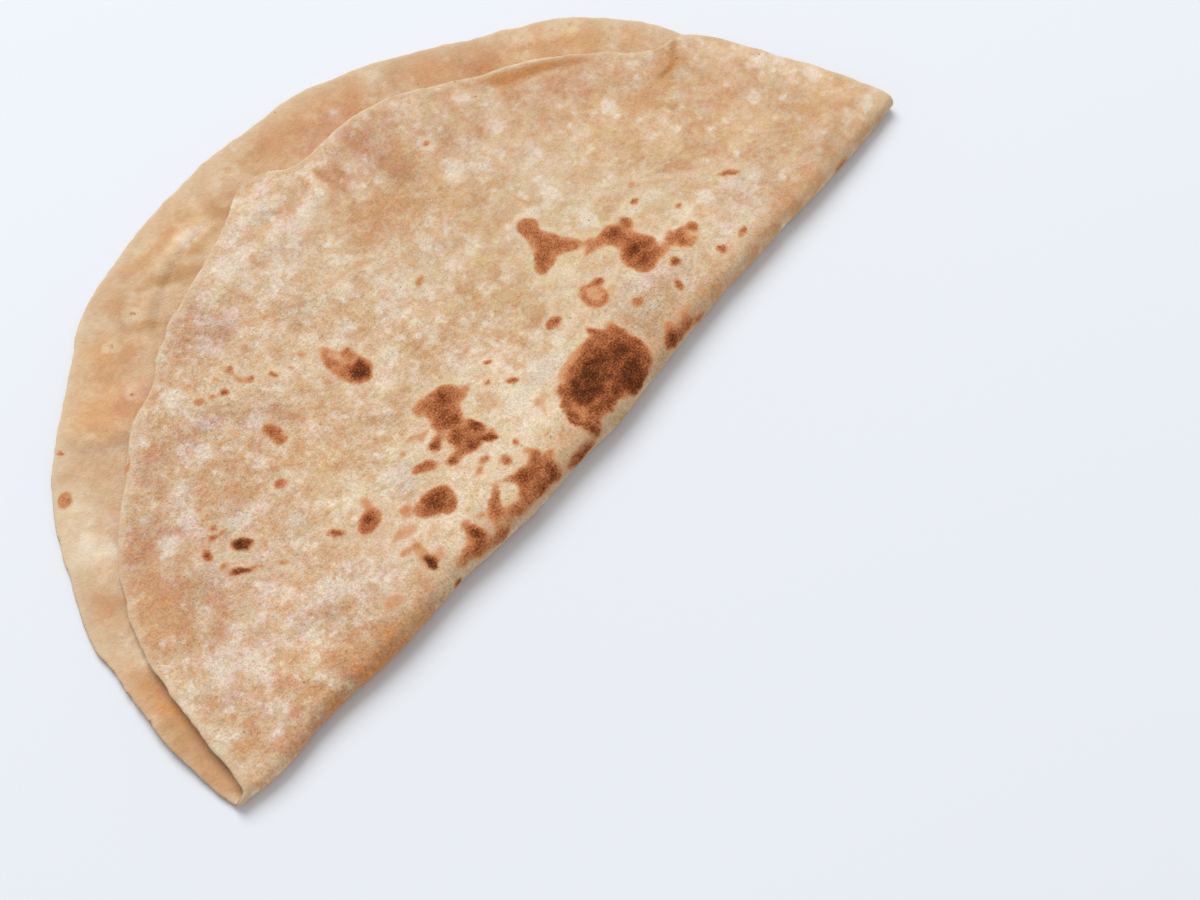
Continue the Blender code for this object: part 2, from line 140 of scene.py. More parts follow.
# Char on the face that shows: centre x and y as it lies, half-length, half-width, turn of the
# length from the X axis in degrees, and heat from a pale blush at 0 to black at 1
UPPER_CHAR = (
    # the forked mark
    (27.2, 42, 2.5, 2.5, 0, 0.58), (26.4, 38.2, 2.5, 2.4, 0, 0.56), (27, 35.2, 3.1, 2.4, 0, 0.58),
    (22.4, 33, 3, 2.1, 25, 0.58), (24.6, 34.6, 2.4, 1.8, 0, 0.58), (22.8, 33.8, 1.5, 1, 30, 0.64),
    (28.9, 31.9, 3.3, 1.9, -25, 0.58),
    # the tall mark to its right
    (37.7, 26, 2.7, 2.6, 0, 0.66), (37.6, 25.6, 1.4, 1.3, 0, 0.7), (42.2, 25.6, 1.2, 1.8, 0, 0.66),
    (39.6, 25.8, 1.2, 1.2, 0, 0.6), (33.5, 26.7, 2.2, 1, -12, 0.56), (32.7, 28.7, 1, 0.5, -10, 0.42),
    (28.6, 26.7, 1.6, 0.3, -6, 0.16), (38.1, 22.4, 2.6, 2, 0, 0.64), (38, 18.4, 4.1, 3.3, 0, 0.7),
    (37.4, 19.3, 2, 1.7, 0, 0.84), (35.4, 15.2, 2.6, 2.3, 0, 0.66), (36.5, 15.2, 1.2, 1.4, 0, 0.76),
    (34.2, 17.8, 1.2, 2.6, 0, 0.54), (39.6, 15, 1.7, 1.5, 0, 0.6),
    # the chain below it
    (41.3, 14, 0.9, 0.7, 0, 0.44), (44, 14.7, 1.2, 1, 0, 0.62), (46.2, 13.4, 1.9, 1.2, 20, 0.6),
    (45.5, 12.2, 1.2, 1, 0, 0.62), (46.4, 10.4, 1.2, 0.9, 0, 0.46), (50, 12.7, 1.1, 1.3, 0, 0.64),
    (48.7, 8.4, 1.3, 0.4, 85, 0.2), (45.6, 15.8, 0.5, 0.5, 0, 0.4),
    # small marks round them
    (39.6, 10, 1.4, 1.2, 30, 0.66), (35.2, 5.4, 1.8, 1.3, 75, 0.6), (48.4, 4, 1.3, 1.1, 30, 0.62),
    (55.4, 3.3, 1.6, 0.9, 35, 0.62), (47.8, 27.7, 1.2, 0.9, -5, 0.66), (51.4, 31.7, 0.7, 0.6, 0, 0.34),
    (52.6, 18.9, 1, 0.8, -10, 0.6), (66.6, 15.4, 2.4, 0.9, -40, 0.64), (26.2, 9.7, 1.4, 1.4, 0, 0.58),
    (29.3, 0.6, 1.5, 0.7, 10, 0.34), (48.3, 0.6, 1.4, 0.4, 15, 0.34), (40.7, 4, 1.2, 1, 60, 0.18),
    (18.4, 11, 0.6, 0.6, 0, 0.5), (51.5, 23, 0.6, 0.6, 0, 0.2),
    # the open ring
    (19.9, 19, 1.6, 0.5, 80, 0.6), (20.8, 16.7, 1.3, 0.5, -50, 0.58), (22.7, 16.2, 1.2, 0.6, 25, 0.62),
    (23.9, 18, 1.1, 0.45, 75, 0.54), (21.3, 21.2, 1.4, 0.6, 35, 0.54), (23.6, 20.9, 1.2, 0.5, -25, 0.48),
    (22, 18.6, 1.6, 1.5, 0, 0.3), (25.6, 20.4, 1.3, 0.9, 5, 0.7), (26.3, 16.6, 0.9, 0.8, 0, 0.24),
    # the middle
    (11, 21, 1.8, 1.2, -5, 0.62), (11.9, 20.8, 0.8, 0.9, 0, 0.66), (-5.7, 18.2, 1.5, 1.1, -15, 0.64),
    (-5.2, 26.2, 0.9, 0.6, -20, 0.6), (-9, 22.9, 0.8, 0.6, 0, 0.58), (1.5, 51.6, 1.9, 1, 20, 0.4),
    (30.6, 74.6, 0.9, 0.8, 0, 0.52), (0.3, 80, 1.6, 1.2, 0, 0.14), (16, 23.6, 1.5, 1, 30, 0.16),
    # the large mark left of the middle
    (-18.4, 27.6, 4.5, 3.4, -8, 0.64), (-17.9, 27.6, 2.1, 1.7, 20, 0.76),
    (-22.6, 30.2, 1.8, 1.4, 20, 0.46), (-21.4, 23.7, 2.6, 2.2, 50, 0.72), (-20.8, 23, 2.8, 2.8, 0, 0.68),
    (-21.8, 17, 3.4, 3.4, 0, 0.64), (-18.6, 17.6, 1.3, 1.9, 0, 0.82), (-23.4, 18.8, 1.3, 1.1, 0, 0.78),
    (-22.6, 15.2, 1.4, 1, 0, 0.8), (-26.6, 21.3, 2, 0.9, 14, 0.66), (-28.3, 21.2, 0.9, 0.8, 0, 0.8),
    (-28.4, 15.6, 1.5, 1, 8, 0.76), (-26, 15.8, 1.3, 0.7, -10, 0.62), (-13.6, 25.2, 2.4, 1, 10, 0.46),
    (-19.4, 12.9, 0.8, 2, 35, 0.8), (-17.9, 13.6, 0.9, 0.8, 0, 0.44),
    # marks round it
    (-33.2, 25.5, 0.8, 0.6, 0, 0.44), (-29.2, 26.3, 1.6, 0.6, -30, 0.32),
    (-27.6, 24.8, 1.4, 0.6, 12, 0.34), (-24.2, 10.6, 1.1, 0.9, 0, 0.5), (-27, 9.5, 1.3, 0.8, 20, 0.4),
    (-21.6, 6.7, 1.6, 1.2, 95, 0.62), (-17, 8.2, 1.1, 0.9, 60, 0.48), (-17.4, 4.8, 0.8, 0.7, 0, 0.38),
    (-6.8, 10.3, 1.1, 0.8, 0, 0.3), (-7.7, 7.8, 1.4, 0.6, 50, 0.24), (-4.4, 10.4, 0.8, 0.7, 0, 0.24),
    # marks left of it
    (-33.7, 19.5, 1.9, 1.4, -30, 0.66), (-32.2, 18.2, 1.3, 1, 0, 0.62), (-37.6, 11.8, 3.9, 3.5, 0, 0.68),
    (-37.9, 12.1, 2.2, 1.9, 20, 0.8), (-36.6, 8.9, 1.4, 1, 20, 0.62), (-41.4, 12.4, 1.3, 1.5, 0, 0.62),
    (-43.6, 15.6, 1.6, 1.3, 40, 0.4), (-48.1, 12.6, 2.2, 1.1, 0, 0.3), (-46, 11.6, 1.4, 0.8, 0, 0.26),
    (-50.6, 8.4, 0.9, 0.7, 0, 0.5), (-48.1, 8.4, 0.8, 0.8, 0, 0.44), (-48.4, 6.8, 0.6, 0.6, 0, 0.36),
    (-43.6, 7.8, 1.9, 0.8, 25, 0.2), (-45.9, 3.2, 1.2, 0.8, 30, 0.28), (-47.9, 3.4, 0.9, 1.1, 0, 0.3),
    (-50, 19.8, 3.2, 2.1, 5, 0.68), (-49.6, 20.4, 1.7, 1.2, 20, 0.76), (-46.6, 23.4, 2.2, 0.8, 60, 0.34),
    (-55.9, 24, 1.8, 0.8, -62, 0.72), (-49.8, 3.2, 1.8, 1.1, 80, 0.94), (-61, 3.9, 2, 1.4, 0, 0.3),
    (-59.6, 2.6, 1.3, 0.9, 0, 0.26),
    # the biggest mark
    (5.6, 5.2, 6.2, 5, 0, 0.8), (12.2, 5.6, 6.4, 5.8, 0, 0.73), (14.4, 2.4, 4.2, 4.6, 0, 0.78),
    (10, -0.6, 4.8, 2.6, 0, 0.76), (2.4, 4.4, 3.6, 3.2, 0, 1), (-0.2, 3, 1.8, 1.8, 0, 0.96),
    (7.2, 6.6, 3, 1.6, 10, 0.9), (10.2, -1, 3.4, 2, 0, 0.98), (3, -1.2, 3.6, 1.5, -5, 0.84),
    (13.6, 4.4, 1.6, 1.4, 0, 0.8), (-1.2, 7.4, 1.9, 1.5, 45, 0.72), (-3.2, 5.2, 2.3, 1.3, 60, 0.7),
    (-5.2, 1.8, 0.9, 2.8, -12, 0.74), (-3.4, 1.6, 1.4, 2.2, 0, 0.46), (-4.2, -2, 1.8, 1.5, 0, 0.78),
    (-1.4, 0.2, 1.4, 1.6, 0, 0.72), (14.7, 12.6, 0.8, 1.7, 10, 0.66), (4, 11.2, 3.8, 1, 8, 0.34),
    (11, 11, 3, 1.2, -5, 0.6), (18, 8.2, 1, 2.2, 0, 0.6),
    # marks along the fold
    (-43.6, -0.7, 2.6, 1, 8, 0.6), (-38.8, 1.4, 2.9, 1.4, 78, 0.62), (-38.6, 0.6, 1.4, 0.9, 80, 0.84),
    (-40.6, -1.2, 1.8, 1, 0, 0.64), (-48.6, -2.6, 1, 0.9, 0, 0.8), (-31.2, 1.4, 3.2, 1, 42, 0.62),
    (-29.2, 3.6, 1.6, 0.6, 40, 0.5), (-32.2, 0.2, 1.4, 1, 0, 0.6), (-34.8, 2.6, 0.8, 0.6, 0, 0.44),
    (-35.4, -2.6, 2.2, 0.7, 0, 0.62), (-29.4, -2.2, 2.2, 1, 0, 0.64), (-25.8, -2, 1.3, 1.2, 0, 0.66),
    (-22.6, 0.4, 2.2, 2.2, 0, 0.7), (-18.8, 0.4, 2.4, 2.2, 0, 0.66), (-22, 1.4, 1.7, 1, 0, 0.76),
    (-24.4, 3.2, 1.4, 0.7, -40, 0.6), (-17.4, 2.6, 0.9, 0.9, 0, 0.66), (-17.6, -2.2, 1.7, 1.3, 30, 0.8),
    (-21.4, -2.6, 2.4, 1, 0, 0.8), (-11.4, 3.8, 1.3, 0.6, 20, 0.34), (-15, 0.3, 0.8, 0.6, 0, 0.46),
    (-9.4, -3, 2.8, 1.1, 0, 0.8), (-13, -3, 1.4, 0.7, 0, 0.56), (23.4, -1.4, 2.4, 1.3, 0, 0.78),
    (28.4, -1.2, 1.9, 1, 0, 0.62), (32.6, -1.6, 2, 0.9, 0, 0.52), (24.6, 0.4, 1.2, 0.7, 30, 0.44),
    (30.6, 0.4, 1.6, 0.6, 0, 0.3), (85.5, -2.2, 2.6, 0.9, 0, 0.5),
    # brown lines in the creases
    (-71.6, 69, 3, 0.5, 45, 0.44), (36.8, 89.6, 3.4, 0.4, -24, 0.4), (56.8, 26, 4, 0.35, -42, 0.34),
    # the upper field
    (-23.7, 46.4, 3, 3.1, 0, 0.6), (-23.6, 46.4, 1.7, 1.9, 0, 0.94), (-26.2, 48.8, 1.3, 1.4, 0, 0.58),
    (-26, 52.8, 2.5, 0.9, 76, 0.56), (-24.3, 50.6, 1.4, 1.2, 0, 0.34), (-23.9, 54, 1.5, 0.4, -60, 0.34),
    (-21.8, 51.6, 1.5, 1.1, 60, 0.6), (-28.2, 58.8, 1, 0.8, 60, 0.34), (-29.5, 60.5, 0.7, 0.5, 0, 0.26),
    (-32.5, 58.6, 0.5, 0.5, 0, 0.48), (-35.7, 60.3, 1.3, 0.8, 90, 0.58),
    (-39.8, 63.5, 1.2, 0.9, -20, 0.52), (-40.8, 68.1, 0.9, 0.65, 70, 0.6),
    (-41.2, 65.8, 1, 0.45, 85, 0.42), (-45.5, 65.2, 0.9, 0.85, 0, 0.7), (-48, 66.3, 0.75, 0.6, -12, 0.46),
    (-50.7, 67.7, 1.05, 0.95, 0, 0.54), (-44.8, 68.9, 0.8, 0.6, 0, 0.34),
    (-46.3, 51.6, 1.4, 1.3, 0, 0.64), (-46.2, 50.1, 1.4, 1.3, 0, 0.6), (-46.7, 48.3, 1.6, 1.2, -30, 0.54),
    (-2.2, 63.7, 2.4, 0.7, -25, 0.24), (-8, 65.6, 2, 0.6, -8, 0.2), (-11.2, 66.2, 1.1, 0.9, 60, 0.18),
    (-51.8, 56.6, 1.2, 2.1, 0, 0.2),
    # the left end
    (-70.1, 37.6, 1.5, 1.3, -42, 0.98), (-69.3, 36.5, 0.8, 0.7, 0, 0.8), (-76.3, 41.2, 1, 0.7, 70, 0.74),
    (-75.4, 43.4, 0.9, 0.4, 70, 0.24), (-72.5, 43, 0.9, 0.6, -20, 0.7),
    (-74.6, 33.4, 1.6, 0.7, -38, 0.86), (-72.2, 31.6, 1.7, 0.4, -40, 0.48),
    (-75.6, 37, 0.9, 0.75, 0, 0.5), (-70.6, 44.8, 0.8, 0.65, 0, 0.58), (-70.2, 42.3, 0.7, 0.65, 0, 0.46),
    (-54.7, 40.6, 0.9, 0.7, 0, 0.66), (-53.6, 39.8, 1.2, 0.5, -20, 0.26),
    (-67.5, 27.7, 0.8, 0.7, 0, 0.46), (-69, 30.7, 0.6, 0.5, 0, 0.28), (-79.8, 29, 0.6, 0.6, 0, 0.26),
    (-99.8, -0.6, 0.4, 0.4, 0, 1),
)
MARGIN_CHAR = (               # on the lower layer, where it shows past the upper one
    (-85, 73.9, 1.8, 1.6, 0, 0.46), (-84.2, 74.8, 1.4, 1, 0, 0.24), (-78, 83, 1, 0.8, 0, 0.56),
    (-52.5, 93.3, 0.6, 0.6, 0, 1), (-43.5, 95.8, 0.6, 0.6, 0, 1), (-57.2, 81.2, 0.5, 0.5, 0, 0.9),
    (-109.7, 25.9, 0.6, 0.55, 0, 1), (74.6, 74.4, 1, 0.8, 0, 0.2), (78.8, 71.8, 0.9, 0.7, 0, 0.26),
    (84.6, 63.6, 1, 0.8, -50, 0.24), (69, 78.4, 0.7, 0.6, 0, 0.18), (-2.6, 106, 1.4, 0.9, 60, 0.22),
)

# How each stretch of the sheet took the heat: centre x and y as it lies, half-length,
# half-width, turn in degrees, flour from honeyed at -1 to powdery at 1, warmth from olive at -1
# to pink at 1, and light from dull at -1 to bright at 1. Light is partly the dough's own
# brightness and partly painted light and shade: painted shade in furrows, creases and under
# edges, and painted light on ridges and crests. Values past 1 make up for other stretches that
# lie over them
UPPER_STRETCHES = (
    # broad ones
    (-80, 42, 36, 34, 0, 0.1, 0.45, -0.05), (16, 30, 46, 26, 0, 0, -0.5, 0.1),
    (12, 84, 40, 10, -8, 0, 0.4, -0.1), (76, 30, 22, 22, 0, -0.1, 0, 0),
    (-50, 30, 8, 10, 0, 0, -0.4, 0.2),
    # the left end
    (-91, 41, 11, 6, 10, -0.8, -0.3, 0.3), (-82, 37, 6, 5, 0, -0.2, 0, -0.6),
    (-82, 54, 8, 4, 45, -0.6, 0.5, -0.6), (-68, 66, 6, 5, 45, -0.2, 0.7, -0.6),
    (-57, 62, 6, 5, 0, 0.2, 0.6, -0.3), (-75, 60, 5, 4, 0, 0, -0.4, -0.1),
    (-60, 48, 9, 5, 0, -0.3, 0.2, -0.2), (-44, 52, 5, 4, 0, -0.4, 0.4, -0.1),
    (-75, 50, 5, 4, 0, 0.3, 0.3, -0.3), (-76, 38, 7, 8, 0, 0.4, 0.2, 0),
    (-91, 19, 10, 7, 0, 0.6, 0.2, 0.2), (-100, 29, 4, 5, 0, -0.6, -0.3, 0),
    (-75, 25, 10, 3, -30, 0, 0.1, 0.1), (-66, 15, 9, 4, -25, 0.4, 0.2, -0.2),
    (-70, 11, 8, 3, -10, -0.2, 0.3, -0.6), (-85, 8, 6, 5, 0, -0.6, 0.3, -0.3),
    (-101, 20, 4, 9, 0, -0.3, 0.1, -0.2), (-96, 12, 2.5, 3.5, 0, -0.7, 0.2, -0.4),
    (-93, 7, 2.5, 2.5, 0, 0.6, 0.4, 0.2), (-101, 5.5, 3, 3, 0, -0.3, -0.2, 0),
    (-103.6, 20, 14, 1.8, 78, 0.7, -0.5, 0.4), (-68, 6, 8, 3, 0, -0.4, 0.2, -0.2),
    (-79, 7, 3, 4, 0, 0.8, -0.3, 0.4), (-55, 12, 6, 8, 0, 0.2, 0, 0.1),
    (-60, 31, 4, 3, 0, -0.4, 0.1, -0.2), (-64, 38, 4, 4, 0, 0.5, 0.1, 0.5),
    (-52, 30, 6, 6, 0, 0.2, 0, 0.1), (-44, 38, 8, 6, 0, -0.1, 0, 0.5),
    # the upper middle
    (-50, 62, 4, 6, 0, 0.2, 0.2, 0), (-37, 80, 7, 6, 0, 0, 1, -0.7), (-48, 82, 5, 4, 40, 0.3, 0.3, -0.1),
    (-22, 88, 9, 4, 10, 0.6, 0.1, 0.2), (-20, 67, 4, 4, 0, -0.4, 0, -0.8),
    (-20, 74, 7, 6, 0, 0.5, -0.1, 0), (-30, 73, 4, 4, 0, 0.2, 0.3, 0.3),
    # From here to (12.8, 84.6), on the soft folds of the tab: painted light on the ridges, and painted
    # shade, darker and browner, in the furrows and beside them
    (-6, 84.5, 13, 2.6, -2, 0.7, -0.4, 0.3), (-4, 92, 14, 3, 5, 0.5, -0.2, 0),
    (-4, 88.3, 9, 1.6, -8, -0.4, 0.1, -0.6), (-9, 78.5, 8, 2.4, 0, -0.2, 0, -0.5),
    (6.8, 86.5, 4.5, 1.3, 68, 0.6, -0.7, 0.6), (9.3, 86, 7, 1, -86, -1, 0, -1),
    (4.5, 80.6, 3, 1.6, -25, -0.7, 0, -0.6), (12.8, 84.6, 2.4, 1, 80, -1, 0.2, -0.9),
    (16.5, 82, 3, 3, 0, 0.6, 0.1, 0.4), (-3, 97, 9, 3, 0, 0.5, 0.3, 0.1), (-13, 62, 6, 5, 0, 0.4, 0, 0.1),
    (-35, 57, 4, 4, 0, 0.5, 0.2, 0.1), (-24, 41, 5, 4, 0, 0.5, 0.1, 0.6),
    (-4, 48, 6, 4, 0, 0.6, 0.2, 0.4), (2, 62, 10, 5, 0, 0.3, 0.3, -0.1), (9, 69, 9, 6, 0, -1, -0.1, -0.3),
    (21, 75, 4, 9, -10, -1, 0.3, -1), (24, 87, 9, 5, 0, -0.5, 0.6, -0.6),
    (35, 73, 5, 8, 0, -0.2, 0.6, -0.8), (30, 65, 3, 4, 0, 0.7, 0.1, 0.2),
    (33, 86, 4, 4, 0, 0.7, -0.2, 0.3), (42, 84, 4, 3, 0, 0.3, 0.1, 0.1), (45, 74, 4, 5, 0, 0, 0.2, -0.2),
    # the right end
    # (55.2, 73.4), (61.8, 69.6) and (69.8, 64.7): painted shade, darker and deep orange-brown, in the
    # furrow behind the curled lip; (63.6, 72): the lip's crest, paler, with painted light on it
    (55.2, 73.4, 3.6, 1.5, -50, -2.9, 0, -1), (61.8, 69.6, 6.5, 1.3, -31, -2.9, 0, -0.9),
    (69.8, 64.7, 4, 1.2, -38, -2.2, 0, -0.5), (63.6, 72, 11, 1.1, -36, 1.3, 0, 0.7),
    (64, 61, 9, 5, -30, -0.2, 0.9, -0.4), (55, 60, 10, 6, -20, -0.2, 0.3, -0.1),
    (28, 54, 6, 5, 0, -0.1, -0.3, -0.3), (11, 46, 5, 4, 0, 0.4, -0.2, 0.5),
    (14, 54, 6, 4, 0, -0.2, 0.2, -0.3), (37, 63, 6, 6, 0, 0.4, 0.1, 0), (40, 50, 8, 8, 0, 0.5, 0.3, 0.1),
    (48, 38, 7, 6, 0, 0.1, 0, 0.2), (60, 45, 10, 8, 0, -0.1, -0.1, 0.4), (67, 34, 5, 4, 0, 0.4, 0.1, 0.7),
    # (83, 47.8), (84.2, 44.9), (80.4, 44.8) and (88.4, 48): painted shade, dark and brown, in the crease
    # of the notch and beside it
    (75, 40, 8, 7, 0, -0.4, -0.1, 0), (83, 47.8, 4.4, 2.4, 15, -1, 0.3, -0.3),
    (84.2, 44.9, 3, 1.3, 12, -1.9, 0.4, -1.2), (80.4, 44.8, 2.3, 0.75, -6, -2.2, 0.4, -2.2),
    (88.4, 48, 3.6, 1, 33, -1.5, -0.3, -1.2), (79, 22, 8, 7, 0, 0.1, -0.2, 0.8),
    (76, 28, 4, 4, 0, -0.5, 0.2, -0.2), (90, 31, 5, 7, 0, -0.3, 0.6, 0.1),
    (93, 41, 3, 6, 20, 0.6, 0.2, 0.4), (101, 26, 4, 16, 12, 0.3, 0, 0.8),
    (96, 16, 5, 7, 0, -0.5, 0, -0.4), (56, 24, 5, 4, 0, -0.3, -0.1, -0.5),
    (65, 25, 4, 3, 0, -0.4, 0.3, -0.1), (60, 7, 8, 5, 0, 0.6, 0.5, -0.1),
    (68, 12, 6, 5, 0, 0.6, -0.1, 0.2), (83, 14, 8, 6, 0, -0.1, -0.2, 0),
    (98, 7, 7, 5, 0, -0.6, 0.4, -0.6), (76, 6, 6, 4, 0, 0.2, 0, 0.2),
    # the middle, near the fold
    (-12, 38, 6, 4, 0, -0.4, 0.1, -0.2), (-31, 35, 5, 4, 0, -0.3, 0.1, -0.3),
    (4, 36, 6, 4, 0, -0.5, 0.1, -0.3), (12, 25, 8, 5, 0, -0.5, 0.5, -0.5),
    (-2, 25, 5, 5, 0, 0.4, 0.5, 0.3), (-2, 14, 10, 5, 0, 1.1, 0.2, 0.4), (-12, 9, 8, 4, 0, 1, 0.1, 0.7),
    (-35, 8, 10, 4, 0, 0.9, 0, 0.8), (27, 8, 7, 8, 0, -0.2, 0.4, -1.2), (38, 8, 5, 5, 0, 0.2, 0.9, -0.6),
    (-40, 24, 9, 6, 0, 0.7, -0.1, 0.3), (24, 28, 4, 3, 0, 0.7, 0.2, 0.6),
    (36, 38, 5, 6, 0, 0.5, -0.1, 0.2), (22, 2, 5, 3, 0, -0.6, 0, -0.5),
    # smaller ones all over
    (72, 11, 16, 6, 0, -0.4, 0.3, -0.8), (-80, 0, 18, 4, 0, -0.6, 0.4, -0.4),
    (-83, 38, 9, 9, 0, -0.4, 0.3, -0.2), (-45, 57, 6, 5, 0, -0.2, 0.3, -0.8),
    (-94, 13, 5, 7, 0, 0, 0.4, -0.3), (-6, 28, 8, 6, 0, 0.6, 0.4, 0), (-10, 77, 7, 5, 0, 0.7, 0.1, 0),
    (11, 49, 6, 5, 0, 0.4, 0.3, 0.1), (88, 1, 6, 4, 0, -0.2, 0.1, -0.9), (-3, 56, 5, 4, 0, 0.4, 0.4, 0.1),
    (11, 91, 4, 3, 0, 0.5, 0, 0.5), (-24, 91, 7, 3, 0, 0.3, 0, 0.5), (-3, 83.5, 7, 3, 0, 0.4, 0.1, 0.3),
    (-87, 34, 6, 5, 0, -0.4, 0, -0.2), (-66, 0, 5, 3, 0, -0.1, 0.1, -0.6),
    (-56, 63, 7, 4, 0, 0.4, 0.3, -0.8), (32, 13, 6, 4, 0, 0.5, 0.5, 0),
    (74, 49, 5, 4, 0, -0.3, 0.2, -0.4), (53, 68.5, 4, 3, 0, -0.4, 0.3, -0.3),
    (-73, 13.5, 5, 4, 0, 0, 0.3, -0.7), (84, 0, 5, 3, 0, -0.2, 0.1, -0.3),
    (-78, 55, 4, 4, 0, -0.1, 0.1, -0.3), (-38, 77, 5, 4, 0, 0, 0.3, -0.7), (-66, 42, 5, 4, 0, 0, 0, -0.8),
    (53, 14, 6, 5, 0, 0.5, 0, 0.4), (97, 10, 7, 7, 0, 0.1, -0.3, 0.9), (-73, 21, 6, 5, 0, 0.4, -0.1, 0.4),
    (-83, 10, 7, 5, 0, 0.35, -0.2, 0.5), (-38, 21, 5, 5, 0, 0, 0, -1), (0, 14.5, 8, 3, 0, 0.3, 0.2, -1),
    (25, 43, 5, 4, 0, 0.4, 0, 0.2), (-24, 41.5, 6, 4, 0, 0.4, 0.2, 0), (-38, 63, 4, 4, 0, 0.3, 0.2, 0.2),
    # the front of the fold: toasted brown, partly real browning and partly painted shade and painted warm
    # bounce light; (66, -3) and (-104, -1) paint light on it
    (-77, -3, 27, 5, 0, -1.4, 0.2, 0.3), (66, -3, 34, 3.2, 0, -0.7, 0, 0.9),
    (-104, -1, 10, 3.5, 0, 0.5, 0.1, 1.2), (5, -2, 45, 2.6, 0, -2, 0, -0.2),
    (30, -1, 9, 2.5, 0, -0.8, -0.2, -0.5),
)
MARGIN_STRETCHES = (          # on the lower layer, where it shows past the upper one
    (0, 60, 150, 80, 0, -0.15, 0, 0), (-60, 98, 9, 4, 36, 0.2, -0.8, 1.6),
    (80, 71, 12, 6, -45, 0.1, -0.7, 1), (-20, 98.5, 9, 4, 10, 0.5, -0.2, 0.8),
    # In the mouth under the lifted left edge of the upper layer, (-108.5, 18), (-104.6, 17) and (-103.4,
    # 29) paint its shade, darker and deep orange-brown as if lit through the dough, and (-108, 6) paints
    # light near the tip
    (-69, 85, 10, 5, 36, 0.2, -0.5, 0.7), (-108.5, 18, 3, 9, 0, -0.5, -0.3, -0.2),
    (-80, 63, 4, 4, 0, 0.4, 0.8, 0.2), (-101, 35, 3.5, 6, -15, 0.4, -0.3, 0.5),
    (4, 105, 9, 4, 0, -0.5, 0.2, -0.5), (46, 97, 9, 5, -30, -0.5, 0.3, -0.5),
    (60, 80, 9, 4, -35, -0.5, 0.4, 0), (-42, 98, 7, 3, 30, -0.6, 0.2, 0.1),
    (-101, 49, 4, 5, -20, -0.4, 0, 0.2), (-104.6, 17, 3.2, 22, -8, -1.7, 0.1, 0.7),
    (-103.4, 29, 2.2, 8, -15, -0.9, 0.1, -0.6), (-108, 6, 1.8, 7, -5, -1, 0.3, 1),
    (-109, 30, 3, 12, -10, -0.4, -0.3, 0.1), (-106, 42, 3, 8, -15, -0.1, 0, 0.9),
    (-97, 51, 4, 5, -30, -0.8, 0.3, 0), (-90, 62, 5, 8, -30, 0.7, -0.3, 0.9),
    (-88, 71, 4, 5, 30, 0.6, -0.3, 1), (-78, 76, 6, 4, 40, -0.3, 0.3, 0.3),
    (-66, 85, 14, 6, 36, -0.9, -0.2, 1), (-62, 80, 12, 3, 32, -0.4, 0.8, -0.2),
    (-55, 92, 9, 5, 36, -1.1, 0.3, 0.1), (-35, 104, 11, 3, 12, -1, 0.1, 0.3),
    # Along the upper layer's edge from x = -50 to -10, on a ridge and furrow of the lower layer: (-46.5,
    # 87), (-37, 94.7) and (-25, 99.8) paint light on the ridge, and (-41, 89), (-30, 94.6), (-18.5, 97)
    # and (-11, 98.8) paint shade, darker and olive-brown, in the furrow beside the edge
    (-46.5, 87, 6, 1.8, 60, 0.1, 0.1, 0.3), (-37, 94.7, 8, 2, 33, 0.4, 0, 0.4),
    (-25, 99.8, 9, 2, 12, 0.5, 0.1, 0.4), (-41, 89, 7, 1.5, 40, -1, -0.5, -0.5),
    (-30, 94.6, 8, 1.6, 22, -1.1, -0.6, -0.6), (-18.5, 97, 7, 1.5, 0, -1.1, -0.5, -0.6),
    (-11, 98.8, 4, 1.4, 42, -1.2, -0.2, -1), (-28, 92.4, 9, 1.2, 20, 0.4, 0.6, 0),
    # (-62, 80) above, and (-68, 74.6) and (-57, 80.3) here: painted shade, darker and purplish-pink, on
    # the margin beside the upper layer's edge
    (-68, 74.6, 10, 1.7, 38, 0, 1.3, -1.2), (-57, 80.3, 8, 2, 22, -0.1, 1, -0.7),
    (-68, 92, 26, 5, 38, 0.2, 0, 0.5), (-10, 109, 42, 4, 0, 0.3, -0.1, 0.5),
    (68, 84, 34, 5, -40, 0.3, -0.2, 0.5), (-1, 102.5, 8, 3.5, 0, 0.6, 0.2, 0.3),
    (-22, 105, 10, 4, 5, -0.6, -0.3, 0.5), (-8, 105, 6, 5, 0, -0.3, 0, 0),
    (12, 103, 14, 6, 0, -0.9, 0.4, 0.4), (20, 97, 9, 3, 0, -0.4, 1, -0.2),
    (30, 98, 8, 4, -30, -0.6, 0.5, 0.2), (40, 98, 3, 3, 0, 0.4, -0.1, 0),
    (50, 90, 10, 4, -42, -1.2, 0.6, 0.3), (56, 82, 5, 5, -40, -1.4, 1.2, -0.6),
    (72, 78, 12, 5, -38, -0.9, -0.2, 0.9), (78, 68, 6, 6, -45, -1.3, 0.2, 0),
    (87, 61, 5, 5, -50, -0.5, -0.3, 0.4),
)

